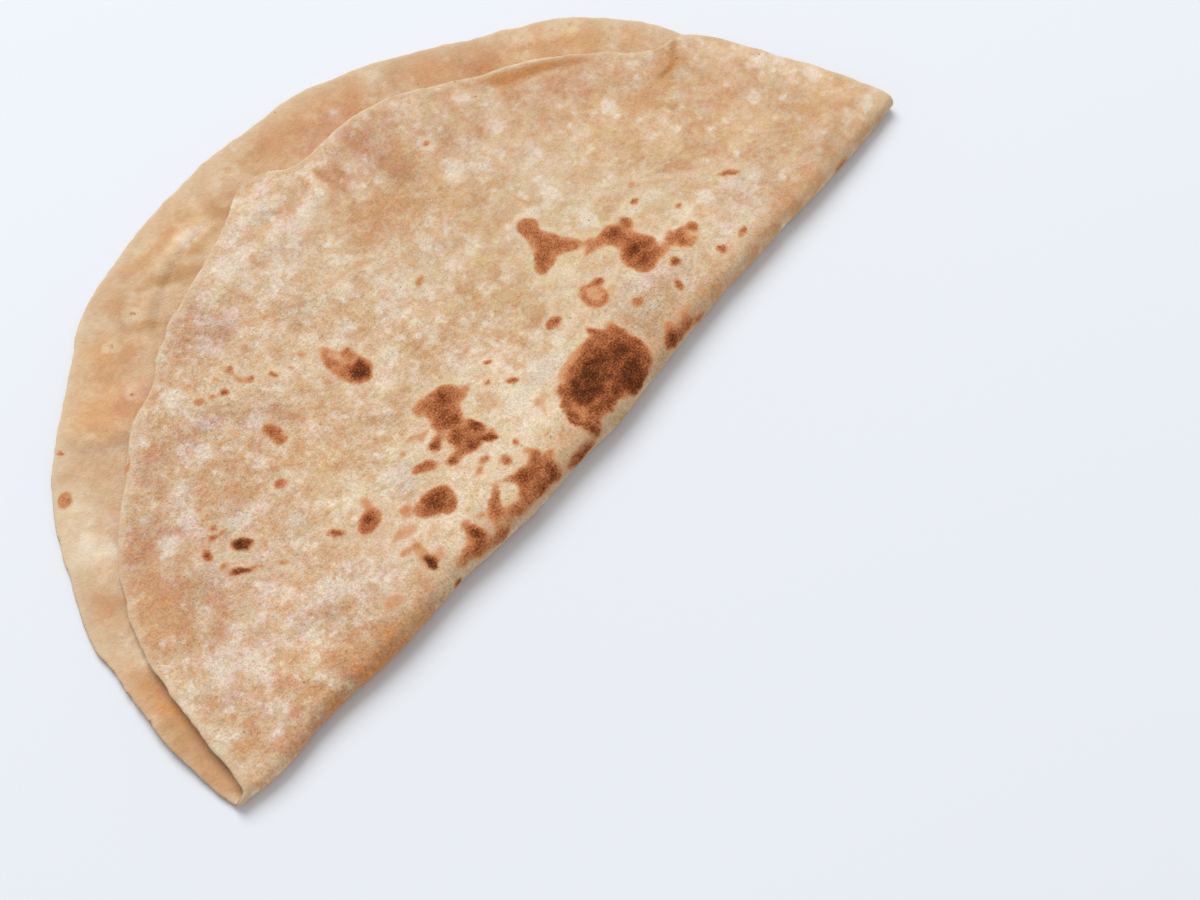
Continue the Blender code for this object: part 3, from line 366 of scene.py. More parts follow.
# The hidden faces are marked like what shows, at random. Pairs are the least and the most
HIDDEN_CHAR = (               # how many, smallest and largest half-width, and the heat range
    (9, 2.2, 4.2, 0.70, 1.00),
    (26, 1.0, 2.0, 0.50, 0.85),
    (60, 0.5, 1.0, 0.25, 0.65),
)
HIDDEN_CHAR_REACH = 100.0     # mm from the middle within which they lie
HIDDEN_CHAR_SCATTER = 0.8     # of a mark's ovals about its middle, as a share of its size
HIDDEN_CHAR_LENGTH = (0.7, 1.4)   # of an oval, as a share of its mark's size
HIDDEN_CHAR_WIDTH = (0.5, 0.9)
HIDDEN_STRETCHES = 60
HIDDEN_STRETCH_REACH = 105.0  # mm
HIDDEN_STRETCH_KINDS = (      # half-length, half-width, turn, flour, warmth and light
    (6.0, 12.0), (4.0, 9.0), (0.0, 180.0), (-1.0, 1.0), (-0.5, 0.7), (-0.4, 0.4),
)
HIDDEN_CLEAR = 16.0           # mm from the fold within which no hidden mark has its middle
HIDDEN_STRETCH_CLEAR = 24.0   # and no hidden stretch

# How marks run together, in mm
CHAR_REACH = 4.0              # how far out of a mark its pull is felt
CHAR_JOIN = 0.75              # neighbours nearer than about this join
CHAR_CORE = 0.22              # how much hotter a mark's middle is than its outline
CHAR_SPREAD = 1.8             # how far out of a hot core its heat is felt
CHAR_SPREAD_LEAST = 0.5       # and out of the narrowest one
CHAR_SHARPNESS = 6.0          # how strongly the hottest of overlapping marks wins
CHAR_START = -0.5             # depth at which a mark starts to brown
CHAR_FULL = 0.4               # and at which it has browned in full
STRETCH_WARP = 1.8            # by which the outlines of broad stretches wander
STRETCH_BROAD = 4.0           # half-width from which a stretch wanders fully
STRETCH_LUMP = 7.0            # size of the lumps that they wander in
STRETCH_LIMITS = (-2.2, 1.4)  # of flour, warmth and light where stretches overlap

# Layers of soft noise: how far each goes to either side, and the size of its lumps, in mm
RIM_TORN = ((0.32, 4.5), (0.15, 1.6))
CHAR_TORN = ((0.45, 3.4), (0.3, 1.3))
SKIN_LUMPS = ((0.16, 11.0), (0.10, 4.3), (0.05, 2.0))
RIM_TRIM = 0.15               # mm by which the torn rim lies inside the drawn edge
BLISTER_RISE = 0.14           # mm by which charred blisters stand above the rest
BLISTER_EDGE = 1.5            # mm outside and inside a mark over which they rise
INNER_BUMPINESS = 0.6         # of the inner face, as a share of the outer one's

# Loose flour, which makes the skin grainy, from 0 to 1
GRAIN_INNER = 0.12            # on the inner face
GRAIN_INNER_SWAY = 0.10       # how much that changes from place to place
GRAIN_OUTER = 0.35            # least on the outer face
GRAIN_LEFT = 0.55             # more towards its left end
GRAIN_FROM, GRAIN_RUN = -45.0, 115.0   # x in mm where that starts to fade, and over which run
DUSTIEST = (28, 10, 30, 12, 0)   # the oval with the most
GRAIN_DUSTIEST = 0.5          # more in the middle of it
GRAIN_OUTER_SWAY = 0.15
GRAIN_LUMP = 17.0             # mm, size of the lumps that grain changes in

# Seeds of the random draws
RIM_SEED, CHAR_SEED, STRETCH_SEED, GRAIN_SEED = 11, 21, 31, 71
OUTER_HIDDEN_SEED, INNER_HIDDEN_SEED = 41, 43
OUTER_LUMP_SEED, INNER_LUMP_SEED = 51, 61

# The mesh
FINE = 0.78 * MM              # between points where the sheet shows best
MEDIUM = 1.5 * MM             # and on the underside
COARSE = 3.2 * MM             # and between the layers
MEDIUM_BAND = 6.0 * MM        # width of the medium points along the rim and what shows
ROUND_FOLD = 5.0 * MM         # how far round the fold the outer face's fine points go
PAST_LIP = 4.0 * MM           # how far under the upper layer the margin's fine points go
RINGS = (0.0, 0.08, 0.25, 0.5, 0.85, 1.35, 2.0)   # loops of points in from the edge
RING_CLEAR = 0.55             # share of the spacing left free inside the last loop
ROW_STEP = math.sqrt(0.75)    # between staggered rows, as a share of the spacing
CLOSEST = 1e-9                # m, below which two points would be one
NORMAL_STEP = 0.05 * MM       # over which the folded sheet's slope is taken
RIM_ROUND = 0.75 * MM         # how far in from the edge the rim's rounding starts
RIM_SMOOTH = 2.5 * MM         # width over which lumps die out towards the rim
UPPER_RIM_NARROWER = 1.5      # how much narrower the upper layer's pale rim is
UPPER_RIM_FROM = 20.0 * MM    # from the fold, where it is fully so
INNER_RIM_WIDER = 0.75        # and the share by which the inner face's is wider
INNER_RIM_START = 45.0 * MM   # from the fold, where the inner face's rim is fully pale
RIM_NONE = 5.0                # mm in from the edge where no rim is pale any more
RIM_TAPER = 9.0 * MM          # width over which the sheet thins towards the rim
SPLINE_STEPS = 24             # fine steps between two drawn points of the edge
NOISE_CELLS = 64              # side of the table that soft noise is read from
FACE_APART = 60.0             # mm that keep the fine noise of the two faces from matching

# Colours
CHAR_STOPS = (                # heat, and the colour of char there
    (0.00, (0.695, 0.409, 0.212)), (0.16, (0.672, 0.352, 0.165)),
    (0.32, (0.635, 0.300, 0.135)), (0.48, (0.548, 0.209, 0.084)),
    (0.60, (0.430, 0.145, 0.053)), (0.72, (0.290, 0.082, 0.025)),
    (0.84, (0.160, 0.042, 0.012)), (1.00, (0.060, 0.017, 0.005)),
)
TONE_STEPS = (                # tones over which each colour takes over from the one before
    ("honey", -0.45, -0.02), ("tan", 0.05, 0.50), ("flour", 0.40, 0.90),
)
FULL_WARMTH = 1.6             # warmth at which the pink or the olive tint is full
TINT_STRENGTH = 5.5           # of the fine mottle of pink and olive
HALO_STRENGTH = 0.52          # of the pale halo round char
GRAIN_LEAST = 0.15            # strength of the fine grain where there is no loose flour
GRAIN_STRENGTH = 1.15         # and what the most loose flour adds to it
CLOUD_STRENGTH = 0.46         # of cloudy shade
LIGHT_STRENGTH = 0.15         # of the stretches' light, which is partly painted light and shade
PAINTED_GLINT_STRENGTH = 0.16         # of painted glints of light on tiny grains
PIT_SHADE_STRENGTH = 0.13           # of painted shade in tiny pits
BRAN_STRENGTH = 0.6
BRAN_RARITY = 0.6             # share of the places for a flake of bran that stay empty
BRAN = (0.12, 0.05, 0.02, 1.0)
LAMP_SIZE = 2.0               # m across
LAMP_DISTANCE = 2.6
LAMP_AZIMUTH, LAMP_ELEVATION = math.radians(152.0), math.radians(52.0)
SKY = (0.96, 0.98, 1.0, 1.0)
FLOOR_HALF = 4.0              # m, half of the floor's side
FLOOR_DROP = 0.1 * MM         # how far the floor lies under the bread
SENSOR_WIDTH = 36.0
AIM_LEFT = 2.9 * MM           # how far left of the bread's middle the camera looks


class ChapatiBread(bpy.types.PropertyGroup):
    """Sizes and colours of the folded bread."""

    thickness: bpy.props.FloatProperty(
        name="Thickness", description="Of the sheet over most of the bread",
        default=1.6 * MM, min=0.5 * MM, unit="LENGTH", precision=5)
    rim_thickness: bpy.props.FloatProperty(
        name="Rim Thickness", description="Of the sheet just inside its rounded rim",
        default=1.2 * MM, min=0.4 * MM, unit="LENGTH", precision=5)
    layer_gap: bpy.props.FloatProperty(
        name="Layer Gap", description="Between the two layers where the upper one has settled",
        default=0.4 * MM, min=0.0, unit="LENGTH", precision=5)
    relief: bpy.props.FloatProperty(
        name="Relief", description="Height of blisters and lumps, as a share of the usual",
        default=1.0, min=0.0, max=2.0, subtype="FACTOR")
    # Toast also paints shade: deep orange-brown in the mouth under the upper layer's left edge, in the
    # furrow behind the curled lip and in the notch's crease, and, with painted shade and warm bounce
    # light, along the fold's front
    toast: bpy.props.FloatVectorProperty(
        name="Toast", description="Dough that browned evenly, as along the fold",
        default=(0.660, 0.310, 0.115), min=0.0, max=1.0, subtype="COLOR")
    honey: bpy.props.FloatVectorProperty(
        name="Honey", description="Dough that lay close to the griddle",
        default=(0.610, 0.342, 0.172), min=0.0, max=1.0, subtype="COLOR")
    tan: bpy.props.FloatVectorProperty(
        name="Tan", description="Dough over most of the bread",
        default=(0.668, 0.457, 0.278), min=0.0, max=1.0, subtype="COLOR")
    cream: bpy.props.FloatVectorProperty(
        name="Cream", description="Dough that only puffed and dried",
        default=(0.735, 0.578, 0.388), min=0.0, max=1.0, subtype="COLOR")
    flour: bpy.props.FloatVectorProperty(
        name="Flour", description="Patches of dry flour",
        default=(0.760, 0.625, 0.480), min=0.0, max=1.0, subtype="COLOR")
    pink: bpy.props.FloatVectorProperty(
        name="Pink", description="Tint of the warm stretches, over their own colour",
        default=(1.000, 0.870, 0.940), min=0.0, max=1.0, subtype="COLOR")
    olive: bpy.props.FloatVectorProperty(
        name="Olive", description="Tint of the cool stretches, over their own colour",
        default=(0.960, 1.000, 0.820), min=0.0, max=1.0, subtype="COLOR")
    roughness: bpy.props.FloatProperty(
        name="Roughness", description="Of the bare dough",
        default=0.62, min=0.0, max=1.0, subtype="FACTOR")


class ChapatiStage(bpy.types.PropertyGroup):
    """Floor, light and camera."""

    floor: bpy.props.FloatVectorProperty(
        name="Floor", description="Colour of the floor",
        default=(0.860, 0.885, 0.930), min=0.0, max=1.0, subtype="COLOR")
    key_power: bpy.props.FloatProperty(
        name="Key Light", description="Power of the large lamp behind the bread",
        default=50.0, min=0.0, unit="POWER")
    surroundings: bpy.props.FloatProperty(
        name="Surroundings", description="Strength of the even light from all round",
        default=0.50, min=0.0)
    azimuth: bpy.props.FloatProperty(
        name="Azimuth", description="Of the camera round the bread; 0 looks along +Y",
        default=math.radians(-51.06), subtype="ANGLE")
    elevation: bpy.props.FloatProperty(
        name="Elevation", description="Of the camera above the floor",
        default=math.radians(61.5), subtype="ANGLE")
    distance: bpy.props.FloatProperty(
        name="Distance", description="From the camera to the point that it looks at",
        default=0.4758, min=0.05, subtype="DISTANCE")
    field_of_view: bpy.props.FloatProperty(
        name="Field of View", description="Width of the camera's view",
        default=math.radians(30.0), subtype="ANGLE")


# ---------------------------------------------------------------- curves and soft shapes


def fade(share):
    """Fall smoothly from 1 at a share of 0 to 0 at a share of 1."""
    share = np.clip(share, 0.0, 1.0)
    return 1.0 - share * share * (3.0 - 2.0 * share)


def along_fold(profile, x):
    """Read a profile of (x, value) pairs in mm at each x, with a smooth curve between them."""
    knots, values = (np.array(profile) * MM).T
    slopes = np.gradient(values, knots)
    left = np.clip(np.searchsorted(knots, x) - 1, 0, len(knots) - 2)
    width = knots[left + 1] - knots[left]
    share = np.clip((x - knots[left]) / width, 0.0, 1.0)
    rising = 1.0 - fade(share)
    bulge = share * (1.0 - share)
    level = values[left] + (values[left + 1] - values[left]) * rising
    lean = slopes[left] * (1.0 - share) - slopes[left + 1] * share
    return level + bulge * lean * width


def smooth_loop(corners):
    """A fine closed Catmull-Rom curve through the corners."""
    before = np.roll(corners, 1, axis=0)
    after = np.roll(corners, -1, axis=0)
    beyond = np.roll(corners, -2, axis=0)
    step = np.linspace(0.0, 1.0, SPLINE_STEPS, endpoint=False)[:, None, None]
    curve = 0.5 * (
        2.0 * corners
        + (after - before) * step
        + (2.0 * before - 5.0 * corners + 4.0 * after - beyond) * step ** 2
        + (3.0 * corners - before - 3.0 * after + beyond) * step ** 3
    )
    return curve.transpose(1, 0, 2).reshape(-1, 2)


def soft_noise(x, y, size, seed):
    """Smooth noise between -1 and 1, in lumps of about a size."""
    table = np.random.default_rng(seed).uniform(-1.0, 1.0, (NOISE_CELLS, NOISE_CELLS))
    column, row = np.floor(x / size).astype(int), np.floor(y / size).astype(int)
    across, up = 1.0 - fade(x / size - column), 1.0 - fade(y / size - row)
    left, right = column % NOISE_CELLS, (column + 1) % NOISE_CELLS
    low, high = row % NOISE_CELLS, (row + 1) % NOISE_CELLS
    lower = table[left, low] * (1.0 - across) + table[right, low] * across
    upper = table[left, high] * (1.0 - across) + table[right, high] * across
    return lower * (1.0 - up) + upper * up


def layered_noise(layers, x, y, seed):
    """Sum of layers of soft noise, each with a seed of its own from the given one on."""
    return sum(
        reach * soft_noise(x, y, size * MM, seed + index)
        for index, (reach, size) in enumerate(layers))


def oval_reach(oval, x, y):
    """Distance from an oval's centre, as a share of the way to its outline."""
    centre_x, centre_y, half_length, half_width, turn = oval
    cosine, sine = math.cos(math.radians(turn)), math.sin(math.radians(turn))
    dx, dy = x - centre_x, y - centre_y
    along = (dx * cosine + dy * sine) / half_length
    across = (dy * cosine - dx * sine) / half_width
    return np.hypot(along, across)


def line_distance(points, x, y):
    """Distance to a line through points, and how far along it the nearest place is, 0 to 1."""
    best = np.full(x.shape, np.inf)
    place = np.zeros(x.shape)
    for index, ((ax, ay), (bx, by)) in enumerate(zip(points[:-1], points[1:])):
        run = (bx - ax) ** 2 + (by - ay) ** 2
        share = np.clip(((x - ax) * (bx - ax) + (y - ay) * (by - ay)) / run, 0.0, 1.0)
        distance = np.hypot(x - ax - share * (bx - ax), y - ay - share * (by - ay))
        place = np.where(distance < best, (index + share) / (len(points) - 1), place)
        best = np.minimum(best, distance)
    return best, place


# ---------------------------------------------------------------- the flat round


def roll_radius(x):
    """Radius of the middle of the sheet round the fold."""
    return along_fold(ROLL_RADIUS, x)


def fold_front(x, thickness):
    """Y of the foremost line of the middle of the sheet."""
    return along_fold(FRONT_LINE, x) + thickness / 2


def unroll(x, y, side, thickness):
    """How far from the fold line a place seen from above lies on the flat round.

    Side is 1 for the upper half and -1 for the lower one.
    """
    radius = roll_radius(x)
    past_quarter_turn = y - fold_front(x, thickness) - radius
    on_roll = radius * np.arccos(np.clip(-past_quarter_turn / radius, -1.0, 1.0))
    past_roll = past_quarter_turn + radius * math.pi / 2
    return side * np.where(past_quarter_turn > 0.0, past_roll, on_roll)


def flat_edge(bread):
    """The flat round's edge as a fine loop, anticlockwise from the fold's right tip."""
    halves = []
    for edge, side in ((UPPER_EDGE[::-1], 1), (LOWER_EDGE, -1)):
        x, y = (np.array(edge) * MM).T
        past_roll = y - fold_front(x, bread.thickness) + roll_radius(x) * (math.pi / 2 - 1.0)
        halves.append(np.column_stack((x, side * past_roll)))
    tips = np.array([RIGHT_TIP, LEFT_TIP]) * MM
    return smooth_loop(np.vstack((tips[:1], halves[0], tips[1:], halves[1])))


def inset(edge, x, v):
    """How far each point of the flat round lies in from the edge."""
    angles = np.arctan2(edge[:, 1], edge[:, 0])
    order = np.argsort(angles)
    reach = np.hypot(edge[:, 0], edge[:, 1])[order]
    edge_here = np.interp(np.arctan2(v, x), angles[order], reach, period=2.0 * math.pi)
    return edge_here - np.hypot(x, v)


def rim_points(edge):
    """Evenly spaced points along the edge, pushed in and out a little as torn dough is."""
    closed = np.vstack((edge, edge[:1]))
    run = np.concatenate(([0.0], np.cumsum(np.hypot(*np.diff(closed, axis=0).T))))
    stops = np.linspace(0.0, run[-1], round(run[-1] / FINE), endpoint=False)
    rim = np.column_stack([np.interp(stops, run, closed[:, axis]) for axis in (0, 1)])
    push = layered_noise(RIM_TORN, *rim.T, RIM_SEED) - RIM_TRIM
    return rim * (1.0 + push[:, None] * MM / np.hypot(*rim.T)[:, None])


def staggered(edge, spacing, wanted):
    """Staggered rows of points inside the rim, where wanted(x, v) says so."""
    reach = np.abs(edge).max()
    rows = np.arange(-reach, reach, spacing * ROW_STEP)
    x, v = np.meshgrid(np.arange(-reach, reach, spacing), rows)
    x = (x + 0.5 * spacing * (np.arange(len(rows)) % 2)[:, None]).ravel()
    v = v.ravel()
    keep = (inset(edge, x, v) > RINGS[-1] * MM + RING_CLEAR * spacing) & wanted(x, v)
    return np.column_stack((x, v))[keep]


def skin_points(edge, rim, shown):
    """Points of one face of the flat round, closest together where shown(x, v) is above 0."""
    reach = np.hypot(*rim.T)[:, None]
    rings = [rim * (reach - distance * MM) / reach for distance in RINGS]

    def fine(x, v):
        return shown(x, v) > 0.0

    def medium(x, v):
        close = (shown(x, v) > -MEDIUM_BAND) | (inset(edge, x, v) < MEDIUM_BAND)
        return close & ~fine(x, v)

    def coarse(x, v):
        return ~medium(x, v) & ~fine(x, v)

    kinds = ((FINE, fine), (MEDIUM, medium), (COARSE, coarse))
    return np.vstack(rings + [staggered(edge, spacing, wanted) for spacing, wanted in kinds])


def triangulate(points, rim_count):
    """Anticlockwise triangles inside the loop of the first rim_count points."""
    flat = [tuple(point) for point in points.tolist()]
    corners, _, faces, origins, _, _ = delaunay_2d_cdt(flat, [], [range(rim_count)], 1, CLOSEST)
    if len(corners) != len(flat):
        raise RuntimeError("two points of the sheet lie on each other")
    source = np.array([origin[0] for origin in origins])
    triangles = source[np.array(faces)]
    a, b, c = (points[triangles[:, corner]] for corner in range(3))
    clockwise = np.cross(b - a, c - a) < 0.0
    triangles[clockwise] = triangles[clockwise][:, ::-1]
    return triangles


# ---------------------------------------------------------------- the fold


def swell_height(swells, x, y):
    """Sum of soft oval swells at points seen from above."""
    height = np.zeros_like(x)
    for *oval, rise in swells:
        height += rise * MM * np.exp(-oval_reach(oval, x / MM, y / MM) ** 2)
    return height


def crease_height(creases, x, y):
    """Sum of soft furrows and ridges at points seen from above, which die out at their ends."""
    height = np.zeros_like(x)
    for points, half_width, rise in creases:
        distance, place = line_distance(points, x / MM, y / MM)
        ends = np.sqrt(np.clip(4.0 * place * (1.0 - place), 0.0, 1.0))
        height += rise * MM * ends * np.exp(-(distance / half_width) ** 2)
    return height


def fold_over(bread, x, v):
    """Place flat points on the folded middle surface of the sheet."""
    radius = roll_radius(x)
    thickness = bread.thickness
    turn = np.clip(v / radius, -math.pi / 2, math.pi / 2)
    past_roll = np.maximum(np.abs(v) - radius * math.pi / 2, 0.0)
    y = fold_front(x, thickness) + radius * (1.0 - np.cos(turn)) + past_roll

    still_rolled = fade(past_roll / along_fold(SETTLE_LENGTH, x))
    settled = 1.0 - still_rolled
    swell = swell_height(LOWER_SWELLS, x, y) * settled
    lower = thickness / 2 + np.maximum(swell + crease_height(LOWER_CREASES, x, y), 0.0)
    layer_step = thickness + bread.layer_gap
    upper = thickness / 2 + swell + layer_step + (2.0 * radius - layer_step) * still_rolled
    upper += swell_height(UPPER_SWELLS, x, y) * settled + crease_height(UPPER_CREASES, x, y)
    rolled = thickness / 2 + radius * (1.0 + np.sin(turn))
    z = np.where(past_roll > 0.0, np.where(v > 0.0, upper, lower), rolled)
    return np.column_stack((x, y, z))


def outward(bread, x, v):
    """Unit normals of the folded middle surface, towards the bread's outer side."""
    step = NORMAL_STEP
    across_x = fold_over(bread, x + step, v) - fold_over(bread, x - step, v)
    across_v = fold_over(bread, x, v + step) - fold_over(bread, x, v - step)
    normal = np.cross(across_x, across_v)
    return normal / np.linalg.norm(normal, axis=1)[:, None]


def pressed_flat(bread, x, v):
    """How hard the upper layer was pressed, 0 to 1."""
    [oval] = placed([PRESSED], 1, bread.thickness)
    return np.exp(-oval_reach(oval, x / MM, v / MM) ** 2)


def half_thickness(bread, x, v, distance):
    """Half of the sheet's thickness at a distance in from the edge."""
    body = bread.thickness + (bread.rim_thickness - bread.thickness) * fade(distance / RIM_TAPER)
    body = body * (1.0 - PRESSED_THIN * pressed_flat(bread, x, v))
    roundness = 1.0 - np.clip(distance / RIM_ROUND, 0.0, 1.0)
    return 0.5 * body * np.sqrt(1.0 - roundness ** 2)


# ---------------------------------------------------------------- what the griddle left


def placed(ovals, side, thickness):
    """Move ovals from where they lie, seen from above, to the flat round, in mm."""
    spots = []
    for x, y, *rest in ovals:
        v = unroll(np.array([x * MM]), np.array([y * MM]), side, thickness)[0] / MM
        spots.append((x, v, *rest))
    return spots


def hidden_place(rng, widest, clear):
    """A random place on half of the flat round, in mm: x, and how far it is from the fold."""
    reach, angle = widest * math.sqrt(rng.uniform(0.0, 1.0)), rng.uniform(0.0, math.pi)
    return reach * math.cos(angle), clear + reach * math.sin(angle) * (1.0 - clear / widest)


def hidden_char(half, seed):
    """Char marks at random on one half of a hidden face, each of a few ovals that overlap."""
    rng = np.random.default_rng(seed)
    spots = []
    for count, small, large, coolest, hottest in HIDDEN_CHAR:
        for _ in range(count):
            x, away = hidden_place(rng, HIDDEN_CHAR_REACH, HIDDEN_CLEAR)
            size, heat = rng.uniform(small, large), rng.uniform(coolest, hottest)
            scatter = HIDDEN_CHAR_SCATTER * size
            for _ in range(1 + int(size)):
                spots.append((
                    x + rng.normal(0.0, scatter), half * (away + rng.normal(0.0, scatter)),
                    size * rng.uniform(*HIDDEN_CHAR_LENGTH), size * rng.uniform(*HIDDEN_CHAR_WIDTH),
                    rng.uniform(0.0, 180.0), heat,
                ))
    return spots


def hidden_stretches(half, seed):
    """Honeyed and powdery stretches at random on one half of a hidden face."""
    rng = np.random.default_rng(seed)
    spots = []
    for _ in range(HIDDEN_STRETCHES):
        x, away = hidden_place(rng, HIDDEN_STRETCH_REACH, HIDDEN_STRETCH_CLEAR)
        spots.append((x, half * away, *(rng.uniform(*limits) for limits in HIDDEN_STRETCH_KINDS)))
    return spots


def char_fields(spots, x, v):
    """Depth in mm inside the joined marks, below 0 outside, and how scorched, 0 to 1."""
    warp_x = layered_noise(CHAR_TORN, x, v, CHAR_SEED)
    warp_v = layered_noise(CHAR_TORN, x, v, CHAR_SEED + len(CHAR_TORN))
    x, v = x / MM + warp_x, v / MM + warp_v
    joined = np.full(x.shape, math.exp(-CHAR_REACH / CHAR_JOIN))
    hottest = np.zeros(x.shape)
    for *oval, heat in spots:
        half_width, reach = oval[3], oval_reach(oval, x, v)
        inside = (1.0 - reach) * half_width
        joined += np.exp(np.maximum(inside, -2.0 * CHAR_REACH) / CHAR_JOIN)
        near = fade(-inside / min(CHAR_SPREAD, CHAR_SPREAD_LEAST + half_width))
        core = 1.0 + CHAR_CORE * (0.5 - np.minimum(reach, 1.0) ** 2)
        hottest += (heat * near * core) ** CHAR_SHARPNESS
    depth = CHAR_JOIN * np.log(joined)
    browned = 1.0 - fade((depth - CHAR_START) / (CHAR_FULL - CHAR_START))
    return depth, np.minimum(hottest ** (1.0 / CHAR_SHARPNESS), 1.0) * browned


def stretch_fields(spots, x, v):
    """Flour, warmth and light, each mostly from -1 to 1."""
    size = STRETCH_LUMP * MM
    warp_x, warp_v = (soft_noise(x, v, size, STRETCH_SEED + axis) for axis in (0, 1))
    x, v = x / MM, v / MM
    totals = [np.zeros(x.shape) for _ in range(3)]
    for spot in spots:
        warp = STRETCH_WARP * min(1.0, spot[3] / STRETCH_BROAD)
        share = np.exp(-oval_reach(spot[:5], x + warp * warp_x, v + warp * warp_v) ** 2)
        for total, amount in zip(totals, spot[5:]):
            total += share * amount
    return [np.clip(total, *STRETCH_LIMITS) for total in totals]


def graininess(x, v, outer):
    """How grainy the skin is, 0 to 1: the outer face is dusted most, towards one end."""
    sway = soft_noise(x, v, GRAIN_LUMP * MM, GRAIN_SEED)
    if not outer:
        return np.clip(GRAIN_INNER + GRAIN_INNER_SWAY * sway, 0.0, 1.0)
    spread = GRAIN_OUTER + GRAIN_LEFT * fade((x / MM - GRAIN_FROM) / GRAIN_RUN)
    spread = spread + GRAIN_DUSTIEST * np.exp(-oval_reach(DUSTIEST, x / MM, v / MM) ** 2)
    return np.clip(spread + GRAIN_OUTER_SWAY * sway, 0.0, 1.0)


def pale_rim(bread, x, v, distance, outer):
    """Mm in from the edge, as the rim's paleness counts them: it is narrow on the outer face,
    and gone where the rim was pressed or where it lies close to the fold on the inner face.
    """
    if outer:
        narrower = 1.0 + UPPER_RIM_NARROWER * np.clip(v / UPPER_RIM_FROM, 0.0, 1.0)
        return distance / MM * narrower + RIM_NONE * pressed_flat(bread, x, v)
    return distance / MM * INNER_RIM_WIDER + RIM_NONE * fade(np.abs(v) / INNER_RIM_START)


def lumps(bread, x, v, depth, seed):
    """Height of blisters and lumps of one face. Char lies on blisters, which touched the iron."""
    height = layered_noise(SKIN_LUMPS, x, v, seed)
    height += BLISTER_RISE * (1.0 - fade((depth + BLISTER_EDGE) / (2.0 * BLISTER_EDGE)))
    return bread.relief * height * MM


def face_fields(x, v, upper_spots, lower_spots, maker):
    """Fields of one face, whose two halves have spots of their own."""
    return [
        np.where(v > 0.0, on_upper, on_lower)
        for on_upper, on_lower in zip(maker(upper_spots, x, v), maker(lower_spots, x, v))
    ]


# ---------------------------------------------------------------- the bread


def build_skin(bread, edge, rim, outer):
    """One face of the sheet: its points, triangles and fields."""
    thickness = bread.thickness
    if outer:
        def shown(x, v):
            return v + ROUND_FOLD
        side, bumpiness, lump_seed = 1.0, 1.0, OUTER_LUMP_SEED
        char_upper = placed(UPPER_CHAR, 1, thickness)
        char_lower = char_upper + hidden_char(-1, OUTER_HIDDEN_SEED)
        stretch_upper = placed(UPPER_STRETCHES, 1, thickness)
        stretch_lower = stretch_upper + hidden_stretches(-1, OUTER_HIDDEN_SEED + 1)
    else:
        def shown(x, v):
            return np.where(v < 0.0, PAST_LIP - inset(edge, x, -v), -1.0)
        side, bumpiness, lump_seed = -1.0, INNER_BUMPINESS, INNER_LUMP_SEED
        char_upper = hidden_char(1, INNER_HIDDEN_SEED)
        char_lower = placed(MARGIN_CHAR, -1, thickness)
        stretch_upper = hidden_stretches(1, INNER_HIDDEN_SEED + 1)
        stretch_lower = placed(MARGIN_STRETCHES, -1, thickness)

    flat = skin_points(edge, rim, shown)
    triangles = triangulate(flat, len(rim))
    x, v = flat.T
    depth, heat = face_fields(x, v, char_upper, char_lower, char_fields)
    flour, warmth, light = face_fields(x, v, stretch_upper, stretch_lower, stretch_fields)
    distance = np.maximum(inset(edge, x, v), 0.0)
    for index, ring in enumerate(RINGS):
        distance[index * len(rim):(index + 1) * len(rim)] = ring * MM

    rim_ease = np.clip(distance / RIM_SMOOTH, 0.0, 1.0)
    lift = half_thickness(bread, x, v, distance)
    lift = lift + bumpiness * lumps(bread, x, v, depth, lump_seed) * rim_ease
    points = fold_over(bread, x, v) + side * outward(bread, x, v) * lift[:, None]
    if not outer:
        triangles = triangles[:, ::-1]
    fields = {
        "sheet": np.column_stack((x / MM, v / MM, np.full(len(x), side * FACE_APART))),
        "char": depth, "scorch": heat, "flour": flour, "warmth": warmth,
        "rim": pale_rim(bread, x, v, distance, outer),
        "light": light, "grain": graininess(x, v, outer),
    }
    return points, triangles, fields


def store_fields(mesh, fields):
    """Keep each field as an attribute of the mesh's points."""
    for name, values in fields.items():
        kind, item = ("FLOAT_VECTOR", "vector") if values.ndim == 2 else ("FLOAT", "value")
        attribute = mesh.attributes.new(name, kind, "POINT")
        attribute.data.foreach_set(item, values.astype(np.float32).ravel())


def build_bread(bread):
    """The folded bread as one closed skin, whose two faces share the rim's outermost loop."""
    edge = flat_edge(bread)
    rim = rim_points(edge)
    outer_points, outer_faces, outer_fields = build_skin(bread, edge, rim, True)
    inner_points, inner_faces, inner_fields = build_skin(bread, edge, rim, False)

    rim_count, outer_count = len(rim), len(outer_points)
    renumber = np.concatenate((
        np.arange(rim_count), np.arange(len(inner_points) - rim_count) + outer_count))
    points = np.vstack((outer_points, inner_points[rim_count:]))
    faces = np.vstack((outer_faces, renumber[inner_faces]))
    fields = {
        name: np.concatenate((values, inner_fields[name][rim_count:]))
        for name, values in outer_fields.items()
    }
    low, high = points.min(axis=0), points.max(axis=0)
    middle = 0.5 * (np.array(CAD_LOW) + np.array(CAD_HIGH))
    points[:, :2] += middle[:2] - 0.5 * (low + high)[:2]
    points[:, 2] = np.maximum(points[:, 2], CAD_LOW.z)

    mesh = bpy.data.meshes.new("folded_bread")
    mesh.from_pydata(points.tolist(), [], faces.tolist())
    store_fields(mesh, fields)
    mesh.materials.append(dough_material(bread))
    mesh.shade_smooth()
    mesh.validate()
    piece = bpy.data.objects.new("folded_bread", mesh)
    bpy.context.scene.collection.objects.link(piece)
    return piece


# ---------------------------------------------------------------- node helpers


VALUE, COLOUR, VECTOR = "NodeSocketFloat", "NodeSocketColor", "NodeSocketVector"


